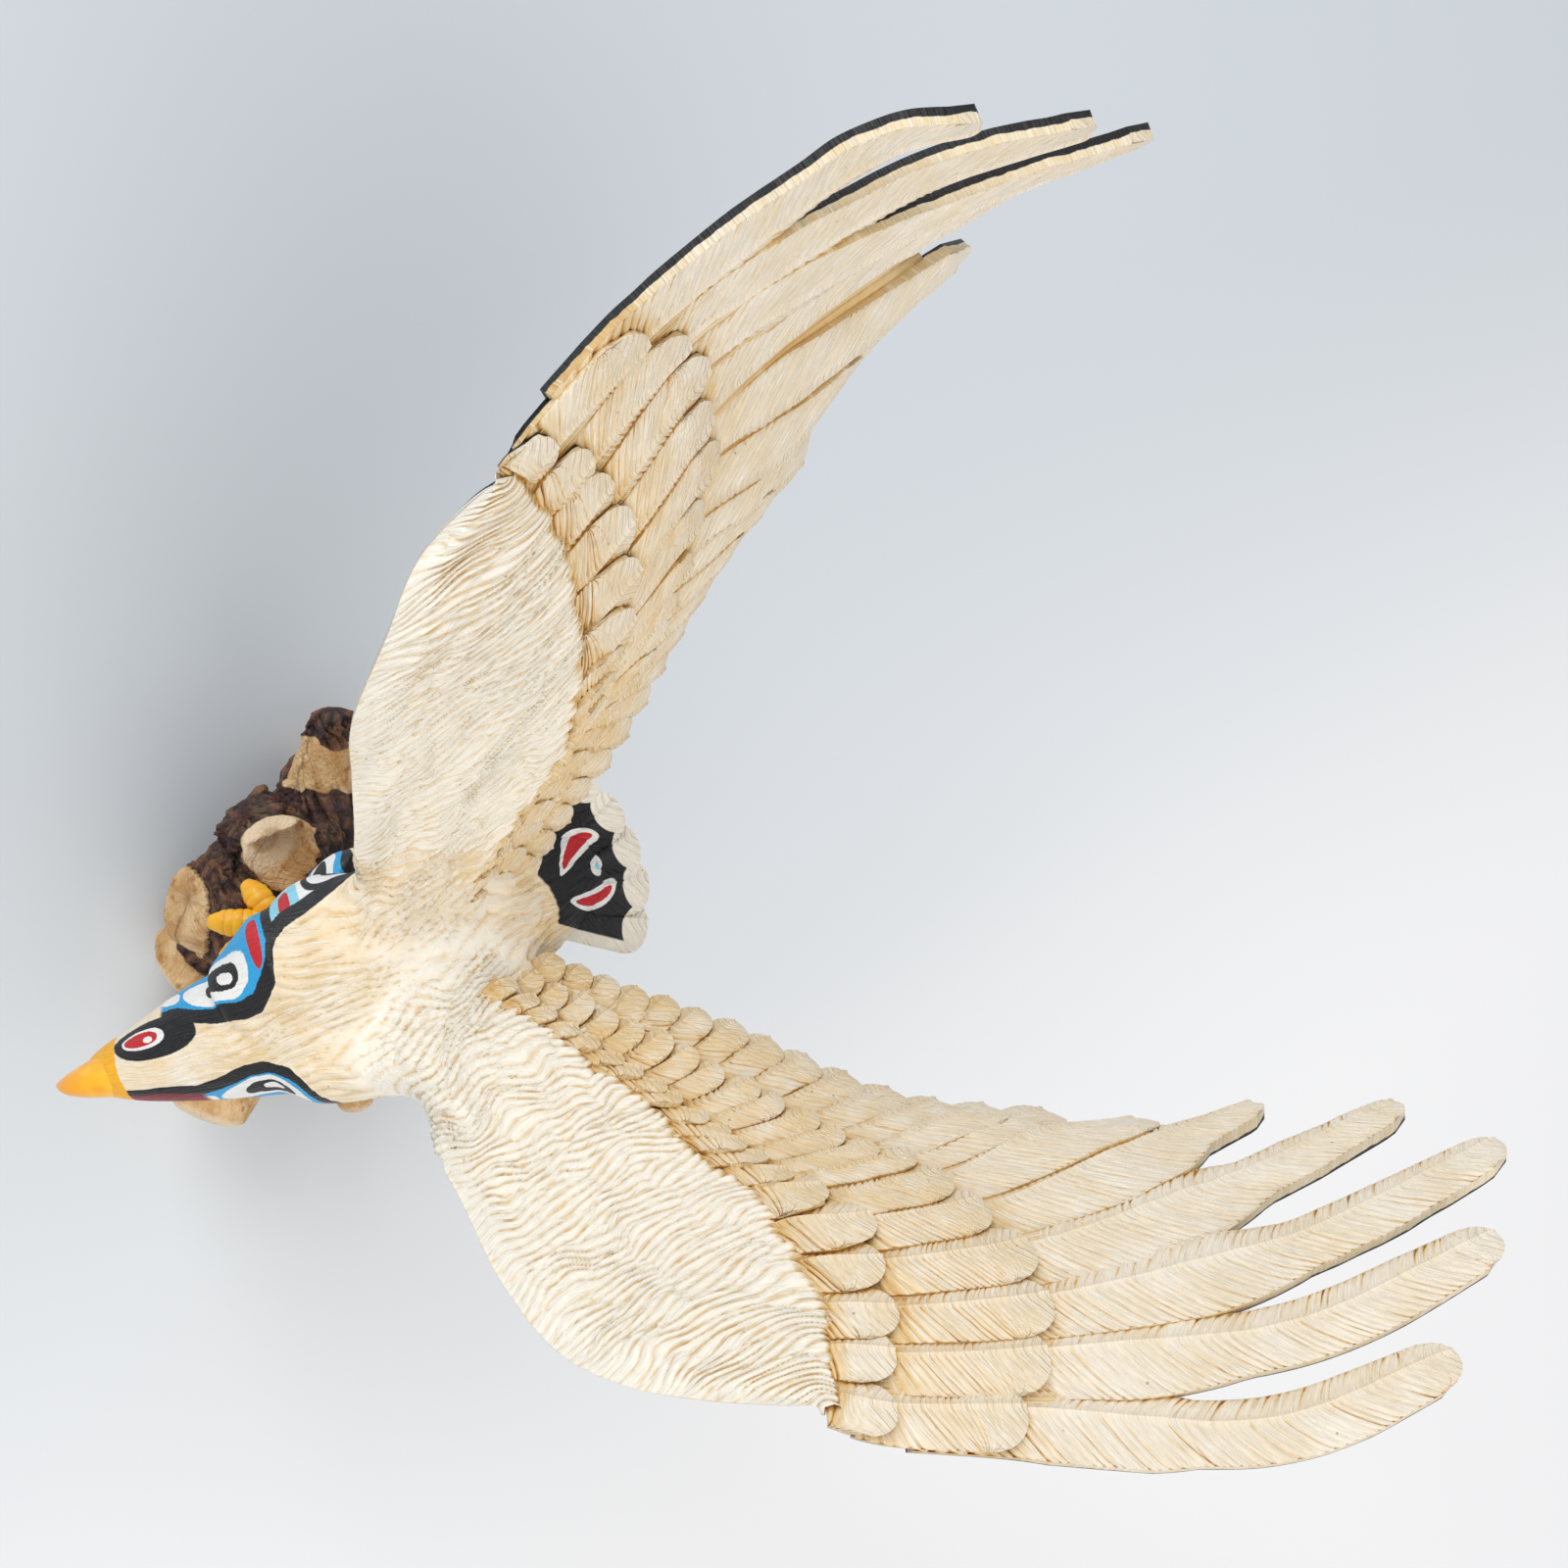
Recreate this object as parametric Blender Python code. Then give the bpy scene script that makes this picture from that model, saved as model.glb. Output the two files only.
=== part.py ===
"""Eagle figurine: a cast resin eagle with raised, swept wings, standing on a piece of driftwood.

World frame: +Z up, the beak points to -Y, the bird's left wing is at +X, the origin is on the
underside of the driftwood. Sizes below are millimetres; meshes are made in metres.
"""

import bmesh
import bpy
import numpy as np
from math import cos, pi, radians, sin
from mathutils import Matrix, Vector, noise

MM = 0.001

# Sizes of the cast
FOOT_PLANE = 34.0            # height of the soles of the feet
SEAT_GAP = 0.3               # clear space between the feet and the wood
VOXEL = 0.62                 # grid that fuses the pieces of the cast
WOOD_VOXEL = 1.0
EAGLE_TRIANGLES = 7200
WOOD_TRIANGLES = 2450
SEAT = (20.0, 24.0, 30.0)    # cutter that flattens the wood under a foot
SEAT_PLACE = (6.0, -5.0)

# Rows of the left wing. Feather 1 is the long one at the wing tip, 16 lies inside the body.
# Each row is the line where its feathers end: (feather number, x, y, z).
LEADING_EDGE = (
    (1, 51.6, -0.5, 148.5), (3, 47.0, -9.5, 141.0), (5, 43.0, -15.5, 134.5), (7, 38.5, -19.0, 126.0),
    (9, 31.5, -18.7, 115.5), (11, 24.0, -16.0, 105.0), (14, 15.0, -13.0, 91.5), (16, 5.0, -9.0, 80.0))
FUR_EDGE = (
    (1, 51.8, 2.0, 150.0), (3, 44.8, 6.6, 143.5), (5, 38.2, 10.0, 134.0), (8, 28.2, 10.2, 117.0),
    (11, 18.0, 8.0, 103.5), (14, 7.5, 4.0, 92.0), (16, 0.0, 1.0, 83.0))
FIRST_ROW = (
    (1, 55.5, 6.0, 153.4), (3, 49.3, 15.5, 148.3), (5, 41.5, 19.5, 140.0), (8, 32.4, 16.8, 121.5),
    (11, 21.6, 13.2, 106.2), (14, 8.8, 8.0, 92.2), (16, 0.0, 4.0, 83.0))
SECOND_ROW = (
    (1, 65.6, 21.0, 156.8), (3, 59.0, 33.8, 151.4), (5, 50.6, 38.5, 139.8), (8, 38.0, 30.6, 122.0),
    (11, 22.8, 21.5, 105.8), (14, 9.2, 12.6, 91.8), (16, 0.0, 7.0, 82.5))
MIDDLE = (
    (1, 78.0, 44.0, 172.0), (2, 72.4, 55.3, 168.5), (3, 67.5, 64.5, 161.8), (4, 62.8, 66.5, 150.0),
    (5, 57.0, 62.4, 139.4), (8, 41.4, 40.1, 120.4), (11, 23.3, 26.6, 104.2), (14, 8.8, 15.4, 91.0),
    (16, 0.0, 9.0, 82.5))
FEATHER_TIPS = (
    (1, 81.1, 69.9, 182.2), (2, 75.4, 87.5, 178.0), (3, 71.4, 101.8, 169.8), (4, 68.6, 102.3, 153.0),
    (5, 64.6, 90.1, 137.6), (6, 61.0, 76.1, 129.4), (7, 53.1, 63.1, 121.6), (8, 46.3, 51.7, 116.0),
    (11, 23.8, 31.4, 102.6), (14, 8.6, 17.4, 90.4), (16, 0.0, 11.0, 82.0))
ROWS = (LEADING_EDGE, FUR_EDGE, FIRST_ROW, SECOND_ROW, MIDDLE, FEATHER_TIPS)
ROW_PLACE = (0.0, 0.22, 0.36, 0.52, 0.74, 1.0)

WING_ARM = ((1, 4.6), (4, 7.4), (8, 9.6), (12, 11.5), (16, 13.0))    # thickest part, by feather number
WING_WEB = 2.3               # thickness of the wing behind the arm
FUR_STEP = 1.4               # the furry shoulder stands proud of the first row
FINGER_HALF = 4.2            # half width of the parted wing-tip feathers
LAST_FEATHER = 14
SLAB_NUMBERS = (15.8, 0.75)  # feather numbers at the inner and outer end of a wing's slab
SLAB_LOOPS = 30
SLAB_POINTS = 18
SLAB_END = 0.93              # end of the slab on the row scale, where no feathers part
FLIGHT_START = 0.40
FLIGHT_THICK = 2.4
COVERTS = ((0.30, 0.52, 1.0), (0.16, 0.36, 1.3))    # start, end, and height of the end over the wing
COVERT_THICK = 1.4
PARTING = (0.58, 0.60, 0.66, 0.69, 0.76)    # where the first five feathers part, on the row scale
RIGHT_PARTING = (0.58, 0.60, 0.66, 0.82, 0.94)

# The right wing is the left one mirrored, twisted along its length, turned about its shoulder
# and a little smaller. Tables are (feather number, value).
SHOULDER = (-8.0, -8.0, 84.0)
RIGHT_TWIST = ((1, 17.9), (4, -0.7), (7, 3.0), (10, 6.5), (13, 9.0), (16, 7.0))
RIGHT_INWARD = ((1, -0.2), (4, -1.4), (7, 5.4), (10, 2.6), (13, -0.3), (16, -0.2))
RIGHT_TIP_INWARD = ((1, 0.0), (2, 2.6), (3, 4.2), (5, 2.0), (7, 0.0))
RIGHT_TURN = (-5.2, -15.5, -1.0)
RIGHT_SHIFT = ((1, 5.6, 9.7, -4.7), (9, 5.6, 9.0, -4.7), (12, 4.6, 4.5, -5.4), (16, 5.5, 0.0, -6.0))
RIGHT_SCALE = 0.96
RIGHT_LONGER = ((1, 0.66), (2, 0.90), (3, 1.10), (4, 1.30), (5, 1.45), (6, 1.2), (8, 1.0))
# Bulge of its leading edge, by feather number.
RIGHT_FRONT = ((1, 0.0), (5, 0.5), (7, 2.0), (9, 0.3), (11, -2.0), (14, -3.5), (16, -2.0))
RIGHT_FORWARD = (-0.33, -0.76, -0.56)    # direction of that bulge

# Body and head: (y, z, half width, half height, lean of the slice in degrees), vent to beak
BODY = (
    (31.0, 79.5, 5.0, 2.5, 0.0), (24.0, 79.0, 8.0, 5.5, 4.0), (14.0, 77.5, 11.5, 9.5, 8.0),
    (3.0, 75.3, 14.0, 12.4, 14.0), (-8.0, 73.0, 14.0, 12.0, 20.0), (-16.5, 70.2, 12.0, 10.8, 24.0),
    (-23.5, 67.0, 9.6, 9.2, 26.0), (-30.0, 63.0, 7.6, 8.0, 30.0), (-35.5, 59.8, 5.4, 6.9, 30.0),
    (-39.5, 57.8, 3.8, 5.2, 24.0), (-42.0, 56.8, 2.4, 3.6, 16.0))
BEAK = (
    (-37.0, 59.2, 3.4, 4.5), (-40.0, 58.8, 3.2, 4.2), (-42.6, 57.6, 2.5, 3.4),
    (-44.8, 55.8, 1.5, 2.2), (-45.8, 53.8, 0.5, 0.8))
HEAD_TURN = ((-46.0, -36.0, -24.0, -8.0, 4.0), (-0.9, 0.4, 1.0, 0.8, 0.0))   # place, and shift to its left
SHOULDERS = ((9.0, -9.0, 75.0), (7.5, 9.0, 8.0))    # middle of the left one, and radii
# Swelling from the neck to the leading edge of a wing: two places of its left one, where it joins the
# wing as (feather number, depth below the wing's back), and its four radii on the right and left
SWELLING = ((3.5, -21.0, 71.0), (7.5, -16.5, 76.0))
SWELLING_JOINS = ((13.6, 4.5), (12.6, 5.0))
SWELLING_RADII = {-1: (7.5, 8.0, 5.6, 4.2), 1: (5.6, 6.4, 5.4, 4.2)}

# Tail fan
TAIL_ROOT = (0.0, 15.0, 79.0)
TAIL_FEATHERS = 5
TAIL_SPREAD = radians(66.0)
TAIL_LENGTH = 24.0
TAIL_HALF = 4.6
TAIL_LIFT = 0.04
TAIL_THICK = 2.4

# Legs, right leg; the left one is its mirror image
HIP = (-8.0, 3.0, 66.0)
KNEE = (-6.0, -2.0, 49.0)
ANKLE = (-3.8, -4.6, 37.5)
TOE_RADIUS = 2.1
TOES = ((-1.6, -13.2), (-7.8, -12.8), (-10.6, -5.2), (-4.0, 4.0))    # ends, x and y
LEFT_LEG_OUT = 3.0           # the left leg stands that much farther from the middle

# Driftwood: (start, end, start radius, end radius), each one a branch with a cut or worn end
WOOD_CORE = ((4.0, 4.0, 11.0), (19.0, 17.0, 15.0))
BRANCHES = (
    ((0.0, -1.0, 19.0), (-10.2, -11.6, 23.5), 8.5, 7.2),
    ((-4.0, 7.0, 24.0), (-15.0, 1.0, 36.0), 7.5, 5.4),
    ((-8.0, 6.0, 20.0), (-18.5, 1.6, 27.0), 8.5, 5.6),
    ((-6.0, 14.0, 18.0), (-28.0, 22.5, 25.0), 10.0, 3.4),
    ((7.0, 0.0, 13.0), (26.5, -21.5, 14.0), 10.5, 6.6),
    ((12.0, 6.0, 14.0), (38.6, 2.8, 13.0), 8.5, 2.9),
    ((4.0, 10.0, 12.0), (8.0, 37.0, 7.2), 13.0, 9.2),
    ((10.0, 8.0, 12.0), (28.0, 25.0, 6.0), 11.0, 7.6),
    ((-6.0, 10.0, 12.0), (-17.0, 29.0, 5.4), 10.0, 7.0),
    ((-9.0, -4.0, 24.5), (12.0, -2.0, 24.5), 9.5, 9.5),
    ((1.0, -4.0, 12.0), (4.0, -14.0, 5.6), 9.0, 7.0),
    ((-1.0, 2.0, 14.0), (2.0, 16.0, 24.0), 12.0, 8.0))
WOOD_RIDGE = 0.75
WOOD_LUMP = 2.1


def through(knots, values, at):
    """Smooth curve through values given at knots, read at the places in at, straight past its ends."""
    knots = np.asarray(knots, float)
    values = np.asarray(values, float)
    at = np.atleast_1d(np.asarray(at, float))
    slopes = np.gradient(values, knots, axis=0)
    inside = np.clip(at, knots[0], knots[-1])
    i = np.clip(np.searchsorted(knots, inside, side="right") - 1, 0, len(knots) - 2)
    step = knots[i + 1] - knots[i]
    t = (inside - knots[i]) / step
    if values.ndim > 1:
        step, t = step[:, None], t[:, None]
    start, end = values[i], values[i + 1]
    curve = ((1 + 2 * t) * (1 - t) ** 2 * start + t * (1 - t) ** 2 * step * slopes[i]
             + t * t * (3 - 2 * t) * end + t * t * (t - 1) * step * slopes[i + 1])
    beyond = at - inside
    edge = np.where((beyond < 0)[:, None] if values.ndim > 1 else beyond < 0, slopes[0], slopes[-1])
    return curve + edge * (beyond[:, None] if values.ndim > 1 else beyond)


def wing_back(rows, feather, back):
    """Points on a wing's back: feather number, and 0 at the leading edge to 1 at the tips."""
    feather, back = np.broadcast_arrays(np.atleast_1d(feather), np.atleast_1d(back))
    flat, place = feather.ravel().astype(float), np.clip(back.ravel().astype(float), 0.0, 1.0)
    lines = np.stack([through([p[0] for p in row], [p[1:] for p in row], flat) for row in rows])
    slopes = np.gradient(lines, ROW_PLACE, axis=0)
    knots = np.asarray(ROW_PLACE)
    i = np.clip(np.searchsorted(knots, place, side="right") - 1, 0, len(knots) - 2)
    step = (knots[i + 1] - knots[i])[:, None]
    t = ((place - knots[i]) / step[:, 0])[:, None]
    n = np.arange(len(flat))
    points = ((1 + 2 * t) * (1 - t) ** 2 * lines[i, n] + t * (1 - t) ** 2 * step * slopes[i, n]
              + t * t * (3 - 2 * t) * lines[i + 1, n] + t * t * (t - 1) * step * slopes[i + 1, n])
    return points.reshape(feather.shape + (3,))


def unit(vectors):
    return vectors / np.maximum(np.linalg.norm(vectors, axis=-1, keepdims=True), 1e-9)


def wing_frame(rows, feather, back):
    """Outward, backward and upward directions of a wing's back at those places."""
    small = 0.02
    outward = wing_back(rows, feather - small, back) - wing_back(rows, feather + small, back)
    ahead = np.clip(np.asarray(back) + small, 0.0, 1.0)
    behind = np.clip(np.asarray(back) - small, 0.0, 1.0)
    backward = unit(wing_back(rows, feather, ahead) - wing_back(rows, feather, behind))
    outward = unit(outward - (outward * backward).sum(-1, keepdims=True) * backward)
    hand = 1.0 if rows is ROWS else -1.0
    return outward, backward, hand * np.cross(outward, backward)


def turned(vectors, axis, degrees):
    """Vectors turned about a unit axis."""
    c, s = cos(radians(degrees)), sin(radians(degrees))
    return vectors * c + np.cross(axis, vectors) * s + axis * (vectors @ axis)[..., None] * (1 - c)


def table(pairs, feather):
    """Values of a table of (feather number, values) at one feather number."""
    columns = np.array(pairs, float).T
    return np.array([np.interp(feather, columns[0], column) for column in columns[1:]])


def right_rows():
    """Rows of the right wing."""
    rows = []
    for row in ROWS:
        made = []
        for number, *point in row:
            if row is FEATHER_TIPS:
                inner = wing_back(ROWS, number, ROW_PLACE[-2])[0]
                point = inner + (np.array(point) - inner) * table(RIGHT_LONGER, number)[0]
            pivot = wing_back(ROWS, number, ROW_PLACE[2])[0]
            span = unit(wing_back(ROWS, number - 0.3, ROW_PLACE[2])[0]
                        - wing_back(ROWS, number + 0.3, ROW_PLACE[2])[0])
            place = pivot + turned(np.array(point) - pivot, span, table(RIGHT_TWIST, number)[0])
            inward = table(RIGHT_INWARD, number)[0]
            if row in (MIDDLE, FEATHER_TIPS):
                inward += table(RIGHT_TIP_INWARD, number)[0] * (1.0 if row is FEATHER_TIPS else 0.5)
            place = place * (-1, 1, 1) + (inward, 0, 0) - SHOULDER
            for axis, degrees in enumerate(RIGHT_TURN):
                place = turned(place, np.eye(3)[axis], degrees)
            place = place * RIGHT_SCALE + SHOULDER + table(RIGHT_SHIFT, number)
            if row is LEADING_EDGE:
                place = place + table(RIGHT_FRONT, number)[0] * np.array(RIGHT_FORWARD)
            made.append((number, *place))
        rows.append(tuple(made))
    return tuple(rows)


def tube(loops):
    """Closed body through a list of loops of points, with its two ends closed."""
    loops = [np.asarray(loop, float) for loop in loops]
    count = len(loops[0])
    verts = np.concatenate(loops)
    faces = []
    for i in range(len(loops) - 1):
        for j in range(count):
            k = (j + 1) % count
            faces.append((i * count + j, i * count + k, (i + 1) * count + k, (i + 1) * count + j))
    faces.append(tuple(range(count))[::-1])
    faces.append(tuple(range((len(loops) - 1) * count, len(loops) * count)))
    return verts, faces


def parting(rows):
    return PARTING if rows is ROWS else RIGHT_PARTING


def wing_slab(rows):
    """The arm, the hand and the web of a wing, under its feathers."""
    loops = []
    for number in np.linspace(*SLAB_NUMBERS, SLAB_LOOPS):
        end = float(np.interp(number, (1, 2, 3, 4, 5, 7, 16), (*parting(rows), SLAB_END, SLAB_END)))
        back = end * (1 - np.cos(np.linspace(0, pi, SLAB_POINTS))) / 2
        x = np.clip(back / 0.8, 0, 1)
        arm = float(through([p[0] for p in WING_ARM], [p[1] for p in WING_ARM], number)[0])
        section = 5 * (0.2969 * np.sqrt(x) - 0.126 * x - 0.3516 * x ** 2 + 0.2843 * x ** 3 - 0.1015 * x ** 4)
        rim = np.sqrt(np.clip(back / 0.03, 0, 1)) * np.sqrt(np.clip((end - back) / 0.02, 0, 1))
        thick = WING_WEB * rim + (arm - WING_WEB) * section
        numbers = np.full(SLAB_POINTS, number)
        top = wing_back(rows, numbers, back)
        upward = wing_frame(rows, numbers, back)[2]
        proud = FUR_STEP * np.clip((back - 0.01) / 0.03, 0, 1) * np.clip((0.24 - back) / 0.03, 0, 1)
        upper = top + upward * (proud - 0.5 * (1 - rim))[:, None]
        lower = top - upward * (thick * 0.92 + 0.5 * (1 - rim))[:, None]
        loops.append(np.concatenate([upper, lower[1:-1][::-1]]))
    return tube(loops)


def feather(rows, number, start, end, half, lift, thick):
    """One feather on a wing, from start to end on the row scale."""
    loops = []
    stations = len(half)
    places = start + (end - start) * np.linspace(0, 1, stations)
    spine = wing_back(rows, np.full(stations, number), places)
    outward, backward, upward = wing_frame(rows, np.full(stations, number), places)
    run = np.concatenate([[0], np.cumsum(np.linalg.norm(np.diff(spine, axis=0), axis=1))])
    left = run[-1] - run
    across = np.array([-1.0, -0.55, 0.0, 0.55, 1.0])
    crown = 0.55 * (1 - across ** 2) + 0.35 * across
    for i in range(stations):
        round_end = np.sqrt(np.clip(1 - (1 - np.clip(left[i] / half[i], 0.03, 1)) ** 2, 0.04, 1))
        height = lift[i] + crown * min(1.0, left[i] / 2.0 + 0.3)
        upper = spine[i] + np.outer(across * half[i] * round_end, outward[i]) + np.outer(height, upward[i])
        lower = upper[::-1] - thick * upward[i] - np.outer(0.5 * (1 - across ** 2)[::-1], upward[i])
        loops.append(np.concatenate([upper, lower]))
    return tube(loops)


def spacing(rows, number, places):
    """Distance between neighbouring feathers at those places on the row scale."""
    apart = wing_back(rows, number - 0.5, places) - wing_back(rows, number + 0.5, places)
    return np.linalg.norm(apart, axis=1)


def wing_feathers(rows):
    """All feathers of a wing: two rows of coverts over the long flight feathers."""
    made = []
    for number in range(1, LAST_FEATHER + 1):
        places = np.linspace(FLIGHT_START, 1.0, 13)
        half = 0.56 * spacing(rows, number, places)
        if number <= len(PARTING):
            parted = np.clip((places - parting(rows)[number - 1]) / 0.10, 0, 1)
            half = half * (1 - parted) + np.minimum(half, FINGER_HALF) * parted
        half = np.clip(half, 2.0, 5.0 if number == 1 else 6.6)
        lift = np.interp(places, (FLIGHT_START, 0.7, 1.0), (-0.6, 0.1, 0.2))
        made.append(feather(rows, number, FLIGHT_START, 1.0, half, lift, FLIGHT_THICK))
        for first, last, rise in COVERTS:
            half = np.clip(0.56 * spacing(rows, number, np.linspace(first, last, 7)), 1.8, 5.2)
            lift = np.linspace(-0.8, rise, 7)
            made.append(feather(rows, number, first, last, half, lift, COVERT_THICK))
    return made


def oval(centre, across, up, half_width, half_height, count=20):
    angles = np.linspace(0, 2 * pi, count, endpoint=False)
    return (np.asarray(centre) + np.outer(np.cos(angles) * half_width, across)
            + np.outer(np.sin(angles) * half_height, up))


def body():
    """Body, neck and head in one loft, with every slice leaned to follow the spine."""
    knots = np.arange(len(BODY))
    values = through(knots, BODY, np.linspace(0, len(BODY) - 1, 34))
    loops = []
    for y, z, wide, high, lean in values:
        up = np.array((0.0, -sin(radians(lean)), cos(radians(lean))))
        loops.append(oval((turn(y), y, z), (1.0, 0.0, 0.0), up, max(wide, 0.6), max(high, 0.6)))
    return tube(loops)


def turn(y):
    """Sideways shift of the neck and head at that place along the body."""
    return float(np.interp(y, HEAD_TURN[0], HEAD_TURN[1]))


def ball(centre, radii):
    """Closed ovoid."""
    loops = []
    for s in np.linspace(-0.98, 0.98, 12):
        ring = cos(np.arcsin(s))
        loops.append(oval((centre[0], centre[1], centre[2] + radii[2] * s), (1, 0, 0), (0, 1, 0),
                          radii[0] * ring, radii[1] * ring, 24))
    return tube(loops)


def shoulder(rows, side):
    """Rounded shoulder on one side, and the swelling that leads from the neck into the wing."""
    centre, radii = SHOULDERS
    path = [np.array(place) * (side, 1, 1) for place in SWELLING]
    for number, depth in SWELLING_JOINS:
        path.append(wing_back(rows, number, 0.10)[0] - (0, 0, depth))
    return [ball((side * centre[0], centre[1], centre[2]), radii), limb(path, SWELLING_RADII[side], 16)]


def beak():
    values = through(np.arange(len(BEAK)), BEAK, np.linspace(0, len(BEAK) - 1, 12))
    loops = []
    for i, (y, z, wide, high) in enumerate(values):
        lean = radians(10 + 60 * (i / 11) ** 2)
        up = np.array((0.0, -sin(lean), cos(lean)))
        loops.append(oval((turn(y), y, z), (1.0, 0.0, 0.0), up, max(wide, 0.5), max(high, 0.5), 12))
    return tube(loops)


def tail():
    """A fan of round-ended feathers from the rump."""
    made = []
    root = np.array(TAIL_ROOT)
    for i in range(TAIL_FEATHERS):
        angle = TAIL_SPREAD * (i / (TAIL_FEATHERS - 1) - 0.5)
        along = unit(np.array((sin(angle), cos(angle), TAIL_LIFT)))
        across = unit(np.array((cos(angle), -sin(angle), 0.0)))
        up = np.cross(across, along)
        loops = []
        for s in np.linspace(0, 1, 9):
            left = (1 - s) * TAIL_LENGTH
            half = TAIL_HALF * (0.45 + 0.55 * s)
            half *= np.sqrt(np.clip(1 - (1 - np.clip(left / half, 0.03, 1)) ** 2, 0.04, 1))
            wave = 0.35 * (i % 2)
            centre = root + along * s * TAIL_LENGTH + up * wave
            side = np.array([-1.0, -0.5, 0.0, 0.5, 1.0])
            upper = centre + np.outer(side * half, across) + np.outer(0.5 * (1 - side ** 2), up)
            loops.append(np.concatenate([upper, upper[::-1] - TAIL_THICK * up]))
        made.append(tube(loops))
    return made


def limb(points, radii, count=10):
    """Round bar through points."""
    points = np.asarray(points, float)
    along = unit(np.gradient(points, axis=0))
    loops = []
    for i, (point, direction) in enumerate(zip(points, along)):
        side = unit(np.cross(direction, (0.31, 0.17, 0.93)))
        up = np.cross(side, direction)
        loops.append(oval(point, side, up, radii[i], radii[i], count))
    return tube(loops)


def leg():
    """Right leg: thigh, shank and four toes."""
    made = []
    thigh = [np.array(HIP) + (np.array(KNEE) - np.array(HIP)) * t for t in (0, 0.35, 0.7, 1.0, 1.1)]
    made.append(limb(thigh, (7.0, 7.2, 5.4, 3.6, 2.2), 12))
    shank = [np.array(KNEE) + (np.array(ANKLE) - np.array(KNEE)) * t for t in (-0.2, 0.3, 0.8, 1.1)]
    made.append(limb(shank, (2.6, 2.3, 2.4, 2.2)))
    ankle = np.array(ANKLE)
    for x, y in TOES:
        end = np.array((x, y, FOOT_PLANE + 0.6))
        knuckle = ankle + (end - ankle) * 0.45 + np.array((0, 0, 1.6))
        instep = (ankle + knuckle) / 2 + (0, 0, 0.4)
        joint = end + (knuckle - end) * 0.35 + (0, 0, 0.3)
        path = [ankle, instep, knuckle, joint, end]
        made.append(limb(path, (TOE_RADIUS, 2.0, TOE_RADIUS, 1.9, 1.1)))
    return made


def eagle_pieces():
    pieces = [body(), beak()] + tail()
    for side, rows in ((1, ROWS), (-1, right_rows())):
        pieces += shoulder(rows, side) + [wing_slab(rows)] + wing_feathers(rows)
    pieces += leg()
    pieces += [(verts * (-1, 1, 1) + (LEFT_LEG_OUT, 0, 0), faces) for verts, faces in leg()]
    return pieces


def wood_branch(start, end, thick, thin, seed):
    """One branch with ridged bark and a cut end."""
    start, end = np.array(start), np.array(end)
    direction = unit(end - start)
    side = unit(np.cross(direction, (0.2, 0.1, 0.97)))
    up = np.cross(side, direction)
    stations, count = 9, 18
    loops = []
    for i in range(stations):
        t = i / (stations - 1)
        radius = thick + (thin - thick) * t
        centre = start + (end - start) * t
        loop = []
        for j in range(count):
            angle = 2 * pi * j / count
            ridge = (sin(angle * 4 + seed) + 0.8 * sin(angle * 7 + seed * 2.3 + t * 3)) * WOOD_RIDGE
            lump = noise.noise(Vector((cos(angle) * 1.3 + seed, sin(angle) * 1.3, t * 3.0))) * WOOD_LUMP
            r = radius + ridge + lump
            loop.append(centre + side * cos(angle) * r + up * sin(angle) * r)
        loops.append(loop)
    return tube(loops)


def wood_pieces():
    pieces = [ball(*WOOD_CORE)]
    for i, (start, end, thick, thin) in enumerate(BRANCHES):
        pieces.append(wood_branch(start, end, thick, thin, i * 1.7 + 0.4))
    return pieces


def material(name, colour, roughness):
    made = bpy.data.materials.new(name)
    made.use_nodes = True
    shader = made.node_tree.nodes["Principled BSDF"]
    shader.inputs["Base Color"].default_value = (*colour, 1.0)
    shader.inputs["Roughness"].default_value = roughness
    shader.inputs["Metallic"].default_value = 0.0
    return made


def joined(name, pieces):
    """One mesh object from closed pieces that overlap."""
    verts, faces = [], []
    for piece_verts, piece_faces in pieces:
        first = len(verts)
        verts.extend(tuple(v * MM) for v in np.asarray(piece_verts))
        faces.extend(tuple(first + i for i in face) for face in piece_faces)
    mesh = bpy.data.meshes.new(name)
    mesh.from_pydata(verts, [], faces)
    work = bmesh.new()
    work.from_mesh(mesh)
    bmesh.ops.recalc_face_normals(work, faces=work.faces)
    work.to_mesh(mesh)
    work.free()
    made = bpy.data.objects.new(name, mesh)
    bpy.context.scene.collection.objects.link(made)
    return made


def evaluated(made):
    """Replace an object's mesh by what its modifiers make of it."""
    graph = bpy.context.evaluated_depsgraph_get()
    mesh = bpy.data.meshes.new_from_object(made.evaluated_get(graph))
    made.modifiers.clear()
    old = made.data
    made.data = mesh
    bpy.data.meshes.remove(old)


def fuse(made, voxel):
    """Fuse overlapping pieces into one skin, and keep its largest body."""
    remesh = made.modifiers.new("fuse", "REMESH")
    remesh.mode = "VOXEL"
    remesh.voxel_size = voxel * MM
    evaluated(made)
    work = bmesh.new()
    work.from_mesh(made.data)
    seen, largest = set(), []
    for vert in work.verts:
        if vert in seen:
            continue
        island, front = {vert}, [vert]
        while front:
            for edge in front.pop().link_edges:
                for other in edge.verts:
                    if other not in island:
                        island.add(other)
                        front.append(other)
        seen |= island
        if len(island) > len(largest):
            largest = island
    bmesh.ops.delete(work, geom=[v for v in work.verts if v not in largest], context="VERTS")
    work.to_mesh(made.data)
    work.free()


def thin_out(made, triangles):
    """Keep about that many triangles, where the shape needs them."""
    count = sum(len(face.vertices) - 2 for face in made.data.polygons)
    decimate = made.modifiers.new("thin_out", "DECIMATE")
    decimate.ratio = min(1.0, triangles / count)
    decimate.use_collapse_triangulate = True
    evaluated(made)


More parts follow.
